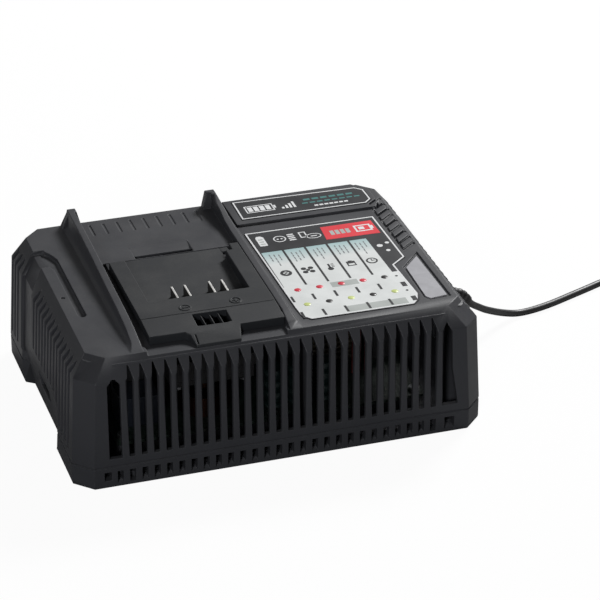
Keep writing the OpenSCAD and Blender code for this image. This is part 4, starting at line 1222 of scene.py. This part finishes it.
@dataclass
class Shells:
    """Upper and lower housing shells with their feet and screws."""

    half: Point2 = (100.0, 72.5)
    deck: float = 64.0
    seam: float = 11.0
    rounding: float = 0.3
    rounding_angle: float = 24.0
    rib_rounding: float = 1.15
    rib_room: float = 2.05
    front_ribs: tuple[float, ...] = (84.0, -66.0, 14.0, 60.4)  # reach in x, front of y, z from and to
    rib_width: float = 1.6
    knee_from: float = 50.0
    level: float = 0.3  # ends that differ less in height lie level
    side_rib_rounding: float = 0.55
    steep: float = 0.7
    side_ribs: tuple[float, ...] = (91.0, 60.0, 13.5, 60.0)  # x beyond, reach in y, z from and to
    knee_z: Point2 = (54.9, 55.6)
    knee_merge: float = 0.3
    tips: Point3 = (79.9, -65.0, 58.0)  # reach in x, front of y, z
    tip_near: float = 0.1
    tip_reach: float = 2.3
    slope: float = 0.8466
    latch: tuple[float, ...] = (-44.7, -15.6, 24.9, 28.9, 60.6)  # x from and to, y from and to, bottom
    latch_root: float = 0.1
    latch_ramp: tuple[Point2, ...] = ((28.9, 63.15), (36.9, 63.98), (36.9, 62.0), (28.9, 61.0))
    groove: tuple[Point2, ...] = (
        (-94.0, 46.8), (-86.6, 46.8), (-83.5, 42.4), (-81.2, 35.9), (-81.2, -22.1), (-82.0, -23.3),
        (-83.5, -23.3), (-84.3, -22.1), (-84.3, 25.1), (-85.9, 29.9), (-94.0, 29.9))
    groove_bottom: float = 61.9
    bead: Point2 = (-66.5, 61.1)
    bead_way: Point2 = (0.646, 0.763)
    bead_size: Point3 = (0.6, 0.16, 0.4)  # width, height, root
    bead_length: float = 80.0
    pad_pitch: float = 6.3
    pad_x: Point2 = (81.9, 88.5)
    pad_rise: Point2 = (5.4, 4.3)
    pad_gap: float = 1.1
    pad_z: Point2 = (-0.5, 0.9)
    pads: Point2 = (2.4, -3.9)
    gap_x: Point2 = (81.3, 89.4)
    gap_y: Box2 = (-2.4, 4.2, 6.0, -0.6)
    gap_depth: float = 0.7
    gap_start: float = 8.7
    gaps: range = range(-2, 7)
    rear_grooves: int = 9
    rear_start: float = -58.1
    rear_width: float = 1.2
    rear_pitch: float = 6.8
    rear_y: Point2 = (54.9, 66.1)
    rear_z: Point2 = (-1.0, -0.38)
    corner_cut: float = 8.4
    base: float = 0.8
    base_lean: float = 1.2
    base_cut: float = 1.4
    base_edge: float = 0.25
    base_clear: float = 0.03
    base_corner_share: float = 0.59
    base_bottom: float = 0.1
    base_rounding: float = 0.45
    base_shortest: float = 6.5
    below_seam: float = 0.5
    near: float = 0.06

    def rib_edge(self, edge: Edge) -> bool:
        """Says whether an edge belongs to a rib of the front grille.

        Args:
            edge: The edge.

        Returns:
            True if it does.
        """
        reach, front, low, high = self.front_ribs
        a, b = (v.co for v in edge.verts)
        inside = all(p.y < front and low < p.z < high and abs(p.x) < reach for p in (a, b))
        at_knee = abs(a.z - b.z) < self.level and a.z > self.knee_from
        return inside and (abs(a.x - b.x) < self.rib_width or at_knee)

    def side_rib_edge(self, edge: Edge) -> bool:
        """Says whether an edge belongs to a rib of a side grille.

        Args:
            edge: The edge.

        Returns:
            True if it does.
        """
        side, reach, low, high = self.side_ribs
        a, b = (v.co for v in edge.verts)
        inside = all(abs(p.x) > side and low < p.z < high and abs(p.y) < reach for p in (a, b))
        return inside and abs(a.z - b.z) > self.steep * (a - b).length

    def hollows(self) -> Mesh:
        """Makes what is cut away: latch slot, the side groove's deeper floor, gaps between the grip pads.

        Returns:
            The cutting mesh.
        """
        piece, above = Piece(), self.deck + 2
        x0, x1, y0, y1, bottom = self.latch
        piece.block((x0, y0, bottom), (x1, y1, above))
        piece.plate(self.groove, self.groove_bottom, above)
        left, right = self.gap_x
        for y in (self.gap_start + self.pad_pitch * k for k in self.gaps):
            outline = [(x, y + off) for x, off in zip((left, right, right, left), self.gap_y)]
            piece.plate(outline, self.deck - self.gap_depth, above)
        return piece.mesh

    def more_pads(self) -> Mesh:
        """Makes the grip pads nearest the window.

        Returns:
            Their mesh.
        """
        piece = Piece()
        left, right = self.pad_x
        up, down = self.pad_rise
        for y in self.pads:
            end = y + self.pad_pitch
            piece.plate([(left, y), (right, y + up), (right, end + down), (left, end - self.pad_gap)],
                        *(self.deck + z for z in self.pad_z))
        return piece.mesh

    def add_bead(self, piece: Piece) -> None:
        """Adds the low bead that runs across the front slope.

        Args:
            piece: The upper shell.
        """
        width, height, root = self.bead_size
        up = Vector(self.bead_way)
        out = Vector((-up.y, up.x))
        low = Vector(self.bead) - width / 2 * up
        high = low + width * up
        crown = [low + share * width * up + height * out for share in (1 / 3, 2 / 3)]
        side = [low - root * out, low, *crown, high, high - root * out]
        piece.prism([tuple(p) for p in side], -self.bead_length, self.bead_length)

    def upper(self) -> None:
        """Makes the upper shell: rounded ribs, deeper hollows, grip pads and the bead on its slope."""
        mesh = node_copy("top_shell")
        (knee_low, knee_high), (x, y, z), near = self.knee_z, self.tips, self.tip_near
        front = self.front_ribs[1]
        knee = [v for v in mesh.verts if v.co.y < front and knee_low < v.co.z < knee_high]
        bmesh.ops.remove_doubles(mesh, verts=knee, dist=self.knee_merge)
        tips = [v for v in mesh.verts if v.co.y < y and abs(v.co.z - z) < near and abs(v.co.x) < x]
        bmesh.ops.translate(mesh, vec=(0.0, self.tip_reach * self.slope, self.tip_reach), verts=tips)
        mesh = carved(mesh, self.more_pads(), "UNION")
        mesh = carved(mesh, self.hollows())
        mesh = rounded(mesh, self.rib_rounding, 3, wanted=self.rib_edge, room=self.rib_room)
        mesh = rounded(mesh, self.side_rib_rounding, wanted=self.side_rib_edge)
        piece = Piece(Paint.HOUSING, mesh=rounded(mesh, self.rounding, least=self.rounding_angle))
        piece.prism(self.latch_ramp, self.latch[0] - self.latch_root, self.latch[1] + self.latch_root)
        self.add_bead(piece)
        (front, back), (low, high) = self.rear_y, self.rear_z
        for x in (self.rear_start + self.rear_pitch * k for k in range(self.rear_grooves)):
            piece.block((x, front, self.deck + low), (x + self.rear_width, back, self.deck + high))
        piece.finish("upper_shell", "shell_plastic", ["top_shell"])

    def upright(self, place: Vector) -> Vector:
        """Moves a point on the lower shell's leaning outside to where the walls run straight down.

        Args:
            place: The point, in millimetres.

        Returns:
            Its new place, or the same one if it isn't on the outside.
        """
        fold = self.base + self.base_cut
        lean = self.base_lean * min(1.0, (self.seam - place.z) / (self.seam - fold))
        cut = max(0.0, fold - place.z)
        reach = [abs(place.x), abs(place.y)]
        on_wall = [r > half - lean - cut - self.near for r, half in zip(reach, self.half)]
        if not any(on_wall):
            return place
        corner = sum(self.half) - self.corner_cut - 2 * lean - math.sqrt(2) * cut
        at_corner = sum(reach) > corner - 2 * self.near
        edge = self.base_edge if place.z < self.base + self.near else 0.0
        out = max(0.0, lean + cut - self.base_clear - edge)
        beside = max(0.0, out - self.base_corner_share * cut) if at_corner else 0.0
        x, y = (r + (out if wall else beside) for r, wall in zip(reach, on_wall))
        return Vector((math.copysign(x, place.x), math.copysign(y, place.y), place.z))

    def lower(self) -> None:
        """Makes the lower shell, whose walls run straight down to a narrow edge."""
        mesh = node_copy("bottom_shell")
        for corner in mesh.verts:
            if corner.co.z < self.seam - self.below_seam:
                corner.co = self.upright(corner.co)
                if abs(corner.co.z - self.base) < self.near:
                    corner.co.z = self.base_bottom
        mesh = rounded(mesh, self.base_rounding, wanted=lambda e: e.calc_length() >= self.base_shortest)
        Piece(Paint.BASE, mesh=mesh).finish("lower_shell", "base_plastic", ["bottom_shell"])

    def build(self) -> None:
        """Makes both shells and dresses what closes them."""
        self.upper()
        self.lower()
        paint_nodes({"rubber_feet": Paint.RUBBER, "housing_screws": Paint.STEEL})


@dataclass
class Dock:
    """Battery dock: insert, contact blades and their board."""

    rounding: float = 0.3
    rounding_angle: float = 24.0
    top: float = 68.0
    length_x: Point2 = (-61.0, 6.0)
    bay_x: Point2 = (-52.0, -2.9)
    bay_side: tuple[Point2, ...] = ((-25.9, 61.3), (15.6, 61.3), (15.6, 62.52), (24.3, 62.52), (24.3, 63.9),
                                    (-25.9, 61.75))
    bay_ends: tuple[tuple[Point3, Point3], ...] = (((-60.0, 17.6, 62.52), (-51.9, 24.3, 63.9)),
                                                   ((-3.0, 20.1, 62.52), (1.0, 24.3, 63.9)))
    crease_y: Point2 = (-41.7, -41.0)
    crease_depth: Point2 = (0.35, 0.2)
    crease_over: float = 0.4
    vent: Box2 = (-36.0, -53.4, -19.5, -43.2)
    vent_z: Point2 = (63.0, 70.0)
    vent_corner: float = 1.2
    bars: int = 3
    bar_half: float = 0.22
    bar_root: float = 0.3
    bar_z: Point2 = (64.2, 66.7)
    blade_rounding: float = 0.12
    blade_angle: float = 40.0
    shaded_side_normal: float = 0.9

    def tray(self) -> None:
        """Makes the insert: ramp in the bay's floor, crease across the block, vent with thin bars."""
        floor, crease, opening = Piece(), Piece(), Piece()
        floor.prism(self.bay_side, *self.bay_x)
        for low, high in self.bay_ends:
            floor.block(low, high)
        (y0, y1), (deep, shallow), above = self.crease_y, self.crease_depth, self.top + self.crease_over
        side = [(y0, above), (y0, self.top - deep), (y1, self.top - shallow), (y1, above)]
        crease.prism(side, *self.length_x)
        x0, v0, x1, v1 = self.vent
        opening.block((x0, v0, self.vent_z[0]), (x1, v1, self.vent_z[1]))
        upright = [e for e in opening.mesh.edges if abs(e.verts[0].co.z - e.verts[1].co.z) > 1]
        bevelled(opening.mesh, upright, self.vent_corner, 4)
        mesh = carved(node_copy("dock_insert"), floor.mesh, "UNION")
        mesh = carved(carved(mesh, crease.mesh), opening.mesh)
        piece = Piece(Paint.DOCK, mesh=rounded(mesh, self.rounding, least=self.rounding_angle))
        pitch, half, root, (low, high) = (x1 - x0) / (self.bars + 1), self.bar_half, self.bar_root, self.bar_z
        for x in (x0 + pitch * (k + 1) for k in range(self.bars)):
            piece.block((x - half, v0 - root, low), (x + half, v1 + root, high))
        piece.finish("dock_tray", "dock_plastic", ["dock_insert"])

    def blades(self) -> None:
        """Makes the contact blades: sides darkened as painted shade, bright edges."""
        mesh, corner = node_copy("contact_blades"), math.radians(self.blade_angle)
        edges = [e for e in mesh.edges if e.is_manifold and e.calc_face_angle_signed(0) > corner]
        bevelled(mesh, edges, self.blade_rounding, clamp=True)
        mesh.normal_update()
        piece = Piece(Paint.BLADE, Paint.BLADE_SHADED_SIDE, mesh=mesh)
        # The side faces get the dark finish as painted shade.
        piece.use([f for f in mesh.faces if abs(f.normal.x) > self.shaded_side_normal], Paint.BLADE_SHADED_SIDE)
        piece.finish("blades", "contact_brass", ["contact_blades"])

    def build(self) -> None:
        """Makes the insert and the blades, and dresses what carries them."""
        self.tray()
        self.blades()
        paint_nodes({"terminal_board": Paint.BOARD_PAINTED_SHADE, "terminal_screws": Paint.STEEL,
                     "insert_screws": Paint.STEEL})


class Ink:
    """Marks printed on a film, in layers that lie on each other."""

    thickness: float = 0.03

    def __init__(self, film_top: float) -> None:
        """Starts on a film whose top is at this height."""
        self.piece = Piece(Paint.INK_WHITE)
        self.film_top = film_top

    def shape(self, paint: Paint, layer: int, outline: Sequence[Point2], rim: float = 0.0,
              layers: float = 1.0) -> None:
        """Prints one shape.

        Args:
            paint: Its ink.
            layer: Layer that it starts on.
            outline: Plan points in order.
            rim: Width of the rim that is printed, or 0 for the whole shape.
            layers: How many layers thick it is.
        """
        low = self.film_top + self.thickness * layer
        self.piece.plate(outline, low, low + self.thickness * layers, paint, rim)

    def bars(self, paint: Paint, layer: int, *boxes: Box2) -> None:
        """Prints bars between their lowest and their highest plan corners."""
        for x0, y0, x1, y1 in boxes:
            self.shape(paint, layer, [(x0, y0), (x1, y0), (x1, y1), (x0, y1)])

    def discs(self, paint: Paint, layer: int, radius: float, *middles: Point2, rim: float = 0.0,
              sides: int = 28, stretch: float = 1.0) -> None:
        """Prints discs or rings.

        Args:
            paint: Their ink.
            layer: Layer that they lie on.
            radius: Their radius.
            middles: Their middles.
            rim: Width of a ring, or 0 for a disc.
            sides: Number of sides.
            stretch: How many times wider than high they are.
        """
        angles = [2 * math.pi * k / sides for k in range(sides)]
        for x, y in middles:
            outline = [(x + radius * stretch * math.cos(a), y + radius * math.sin(a)) for a in angles]
            self.shape(paint, layer, outline, rim)


@dataclass
class StatusPanel:
    """Film with the status marks, its print and its light guide."""

    film_top: float = 64.3
    outline: tuple[Point2, ...] = (
        (12.8, 33.7), (79.1, 33.3), (79.5, -12.1), (71.9, -18.5), (72.9, -48.9), (70.9, -54.7),
        (67.9, -57.9), (17.8, -57.7), (14.3, -53.6), (13.8, -45.6))
    outline_rim: float = 0.8
    silver: tuple[Point2, ...] = (
        (14.6, 11.9), (68.0, 11.6), (68.6, -25.2), (71.4, -25.2), (72.1, -48.8), (70.3, -54.3),
        (67.5, -57.1), (18.1, -56.9), (15.0, -53.2), (14.6, -45.4), (14.2, -25.0), (14.6, -25.0))
    separators: tuple[float, ...] = (25.5, 36.6, 47.7, 58.8)
    separator_y: Point2 = (-25.1, 12.2)
    line_x: tuple[float, ...] = (20.0, 31.0, 42.1, 53.2, 63.6)
    line_top: float = 9.2
    line_lengths: Point3 = (10.5, 12.6, 8.6)
    line_width: float = 0.55
    sign_y: float = -11.3
    ticks: tuple[float, ...] = (14.9, 25.3, 36.2, 47.1, 58.1)
    tick_half: float = 0.6
    led_x: tuple[float, ...] = (20.0, 30.85, 41.7, 52.55, 63.4)
    led_y: Point2 = (-29.0, -43.8)
    lens_radius: float = 1.75
    lens_flatness: float = 0.22
    lens_colours: tuple[tuple[Paint, ...], ...] = (
        (Paint.LENS_RED, Paint.LENS_RED, Paint.LENS_RED, Paint.LENS_RED, Paint.LENS_DARK),
        (Paint.LENS_GREEN, Paint.LENS_DARK, Paint.LENS_GREEN, Paint.LENS_DARK, Paint.LENS_GREEN))

    def header(self, ink: Ink) -> None:
        """Prints the header's plain pictograms and the red field.

        Args:
            ink: The panel's print.
        """
        white, grey, dark, red = Paint.INK_WHITE, Paint.INK_GREY, Paint.INK_DARK, Paint.INK_RED
        # Battery pack
        pack = [(16.3, 18.6), (20.3, 18.6), (20.3, 27.6), (19.2, 28.9), (17.2, 28.9), (16.3, 27.6)]
        ink.shape(white, 1, pack)
        ink.bars(grey, 2, *((17.1, 20.0 + 2.4 * k, 19.5, 21.2 + 2.4 * k) for k in range(3)))
        # Socket and level bars
        ink.discs(white, 1, 3.2, (27.6, 23.6), rim=0.6)
        ink.discs(white, 1, 0.55, (26.6, 23.6), (28.6, 23.6), sides=12)
        ink.bars(white, 1, *((32.0, 20.4 + 1.9 * k, 35.4, 21.5 + 1.9 * k) for k in range(4)))
        # Small pack and ring
        ink.bars(white, 1, (38.0, 21.6, 41.6, 27.6), (43.0, 21.6, 46.2, 22.4))
        ink.bars(dark, 2, (38.7, 22.3, 40.9, 26.9))
        ink.discs(white, 1, 2.6, (44.6, 22.0), rim=0.5, stretch=1.5)
        # Red field with plain bars and a battery
        ink.shape(red, 1, [(50.3, 29.5), (49.3, 16.0), (76.9, 15.3), (76.6, 29.5)])
        ink.bars(grey, 2, *((53.2 + 2.7 * k, 20.0, 55.2 + 2.7 * k, 24.6) for k in range(4)))
        ink.bars(white, 2, (66.0, 19.4, 74.6, 26.2), (74.6, 21.2, 75.6, 24.4))
        ink.bars(red, 3, (67.0, 20.4, 73.6, 25.2))
        ink.bars(white, 4, (68.0, 21.4, 70.9, 24.2))

    def columns(self, ink: Ink) -> None:
        """Prints the five columns' separators and broken lines.

        Args:
            ink: The panel's print.
        """
        low, high = self.separator_y
        ink.bars(Paint.INK_DARK, 2, *((x - self.line_width, low, x + self.line_width, high)
                                      for x in self.separators))
        for n, middle in enumerate(self.line_x):
            for k, length in enumerate(self.line_lengths):
                x, y = middle - 2.6 + 2.2 * k, self.line_top - 0.6 * ((n + k) % 3)
                dash = length / 4
                ink.bars(Paint.INK_LINE, 2, *((x, y - dash * (m + 0.78), x + self.line_width, y - dash * m)
                                              for m in range(3 + (n + k) % 2)))

    def signs(self, ink: Ink) -> None:
        """Prints one plain pictogram in each column.

        Args:
            ink: The panel's print.
        """
        dark, silver, y = Paint.INK_DARK, Paint.INK_SILVER, self.sign_y
        # Plus sign and clock on round fields
        ink.discs(dark, 2, 2.9, (19.9, y), (63.2, y))
        ink.bars(silver, 3, (19.3, y - 1.4, 20.5, y + 1.4), (18.5, y - 0.6, 21.3, y + 0.6))
        ink.discs(silver, 3, 2.0, (63.2, y))
        ink.bars(dark, 4, (62.9, y - 0.3, 63.5, y + 1.7), (62.9, y - 0.3, 64.7, y + 0.3))
        # Fan
        tips = [(30.9 + sx, y + sy) for sx in (-1.75, 1.75) for sy in (-1.75, 1.75)]
        ink.discs(dark, 2, 1.35, *tips, sides=14)
        ink.discs(dark, 2, 1.0, (30.9, y), sides=14)
        # Thermometer
        ink.bars(dark, 2, (41.3, y - 1.2, 42.3, y + 3.0))
        ink.discs(dark, 2, 1.5, (41.8, y - 2.0), sides=16)
        ink.bars(dark, 2, *((42.9, y - 0.4 + 1.3 * k, 44.3, y + 0.1 + 1.3 * k) for k in range(3)))
        # Battery with its level
        ink.bars(dark, 2, (50.6, y - 2.2, 55.0, y + 2.4), (51.8, y + 2.4, 53.8, y + 3.1))
        ink.bars(silver, 3, (51.3, y - 1.5, 54.3, y + 0.1))

    def levels(self, ink: Ink) -> None:
        """Prints the ticks, dots and level marks around the lamps.

        Args:
            ink: The panel's print.
        """
        dark, half = Paint.INK_DARK, self.tick_half
        for x in self.ticks:
            ink.bars(dark, 2, (x - half, -40.2, x + half, -34.6), (x - half, -56.2, x + half, -50.2))
        ink.bars(dark, 2, *((68.6, y - 2.2, 71.0, y + 2.2) for y in (-38.4, -53.0)))
        ink.discs(dark, 2, 0.7, (69.2, -29.6), (69.2, -44.6), sides=12)
        ink.bars(Paint.INK_GREY, 1, (36.2, -56.6, 66.0, -51.0), (36.6, -31.6, 50.0, -26.6))
        # Three dots in the dark field
        ink.discs(Paint.INK_WHITE, 1, 1.5, (72.0, 2.4), sides=16)
        ink.discs(Paint.INK_WHITE, 1, 1.1, (76.4, 4.4), (74.4, -3.4), sides=16)

    def lenses(self) -> None:
        """Makes the low domes over the lamps."""
        piece = Piece(Paint.LENS_RED)
        flat = Matrix.Diagonal((1, 1, self.lens_flatness, 1))
        for y, row in zip(self.led_y, self.lens_colours):
            for x, paint in zip(self.led_x, row):
                place = Matrix.Translation((x, y, self.film_top - 0.02))
                made = bmesh.ops.create_uvsphere(piece.mesh, u_segments=24, v_segments=12,
                                                 radius=self.lens_radius, matrix=place @ flat)["verts"]
                piece.use({f for v in made for f in v.link_faces}, paint)
        piece.finish("lamp_lenses", "clear_plastic", smooth=60)

    def build(self) -> None:
        """Makes the print and the lenses, and dresses the film and what lies under it."""
        ink = Ink(self.film_top)
        ink.shape(Paint.INK_WHITE, 0, self.outline, self.outline_rim, layers=2.0)
        ink.shape(Paint.INK_SILVER, 0, self.silver, layers=1.4)
        self.header(ink)
        self.columns(ink)
        self.signs(ink)
        self.levels(ink)
        ink.piece.finish("status_print", "label_film")
        self.lenses()
        paint_nodes({"status_label": Paint.FILM, "indicator_window": Paint.WINDOW, "light_guide": Paint.GUIDE,
                     "led_board": Paint.BOARD_PAINTED_SHADE, "led_chips": Paint.CHIP, "panel_screws": Paint.STEEL,
                     "panel_leads": Paint.RED_LEAD})


@dataclass
class RearPanel:
    """Dark film behind the status panel with its plain print."""

    film_top: float = 65.45
    outline: tuple[Point2, ...] = ((16.1, 66.3), (15.8, 47.1), (80.2, 46.7), (83.7, 50.1), (83.5, 61.3),
                                   (79.8, 64.6))
    outline_rim: float = 0.7
    battery: tuple[Point2, ...] = ((20.0, 52.6), (34.6, 52.6), (34.6, 60.0), (20.0, 60.0))
    battery_rim: float = 0.6

    def build(self) -> None:
        """Makes the print and dresses the film."""
        ink, white, teal = Ink(self.film_top), Paint.INK_WHITE, Paint.INK_TEAL
        ink.shape(white, 0, self.outline, self.outline_rim)
        # Three rows of dashes
        ink.bars(teal, 0, *((51.0 + 4.5 * k, 58.0, 54.4 + 4.5 * k, 59.8) for k in range(6)))
        ink.bars(teal, 0, *((49.4 + 3.9 * k, 54.6, 52.3 + 3.9 * k, 55.8) for k in range(8)))
        ink.bars(white, 0, *((54.6 + 2.6 * k, 50.6, 56.6 + 2.6 * k, 52.0) for k in range(7)))
        # Battery with its level, and rising bars beside it
        ink.shape(white, 0, self.battery, self.battery_rim)
        ink.bars(white, 0, (34.8, 54.8, 35.8, 57.8))
        ink.bars(white, 0, *((21.3 + 3.1 * k, 53.9, 23.7 + 3.1 * k, 58.7) for k in range(4)))
        ink.bars(white, 0, *((38.4 + 2.0 * k, 52.6, 39.6 + 2.0 * k, 54.4 + 1.5 * k) for k in range(4)))
        ink.piece.finish("rear_print", "dark_film")
        paint_nodes({"rear_label": Paint.FILM})


@dataclass
class Electronics:
    """Everything on and around the main circuit board."""

    finishes: dict[str, Paint] = field(default_factory=lambda: {
        "circuit_board": Paint.BOARD_PAINTED_SHADE, "board_screws": Paint.STEEL, "transformer_core": Paint.FERRITE,
        "transformer_coil": Paint.TAPE_PAINTED_SHADE, "bulk_capacitors": Paint.SLEEVE,
        "output_capacitors": Paint.SLEEVE_SMALL, "heat_sinks": Paint.SINK, "power_transistors": Paint.PACKAGE,
        "filter_choke": Paint.COPPER_PAINTED_SHADE, "relay": Paint.RELAY, "fuse": Paint.GLASS, "fuse_clips": Paint.CLIP,
        "output_leads": Paint.RED_LEAD, "inlet_leads": Paint.BROWN_LEAD, "cord_clamp": Paint.INNER,
        "clamp_screws": Paint.STEEL})

    def build(self) -> None:
        """Dresses every part."""
        paint_nodes(self.finishes)


@dataclass
class Fan:
    """Cooling fan, its duct and its leads."""

    finishes: dict[str, Paint] = field(default_factory=lambda: {
        "fan_frame": Paint.FAN, "fan_bush": Paint.BUSH, "fan_coils": Paint.COPPER_PAINTED_SHADE, "fan_rotor": Paint.FAN,
        "fan_screws": Paint.STEEL, "fan_leads": Paint.BLACK_LEAD, "air_duct": Paint.DUCT,
        "duct_screws": Paint.STEEL})

    def build(self) -> None:
        """Dresses every part."""
        paint_nodes(self.finishes)


def main() -> None:
    """Builds the studio and every sub-assembly in order."""
    logging.basicConfig(level=logging.INFO, format="%(name)s: %(message)s")
    for part in (Studio(), MainsLead(), Shells(), Dock(), StatusPanel(), RearPanel(), Electronics(), Fan()):
        part.build()


if __name__ == "__main__":
    main()
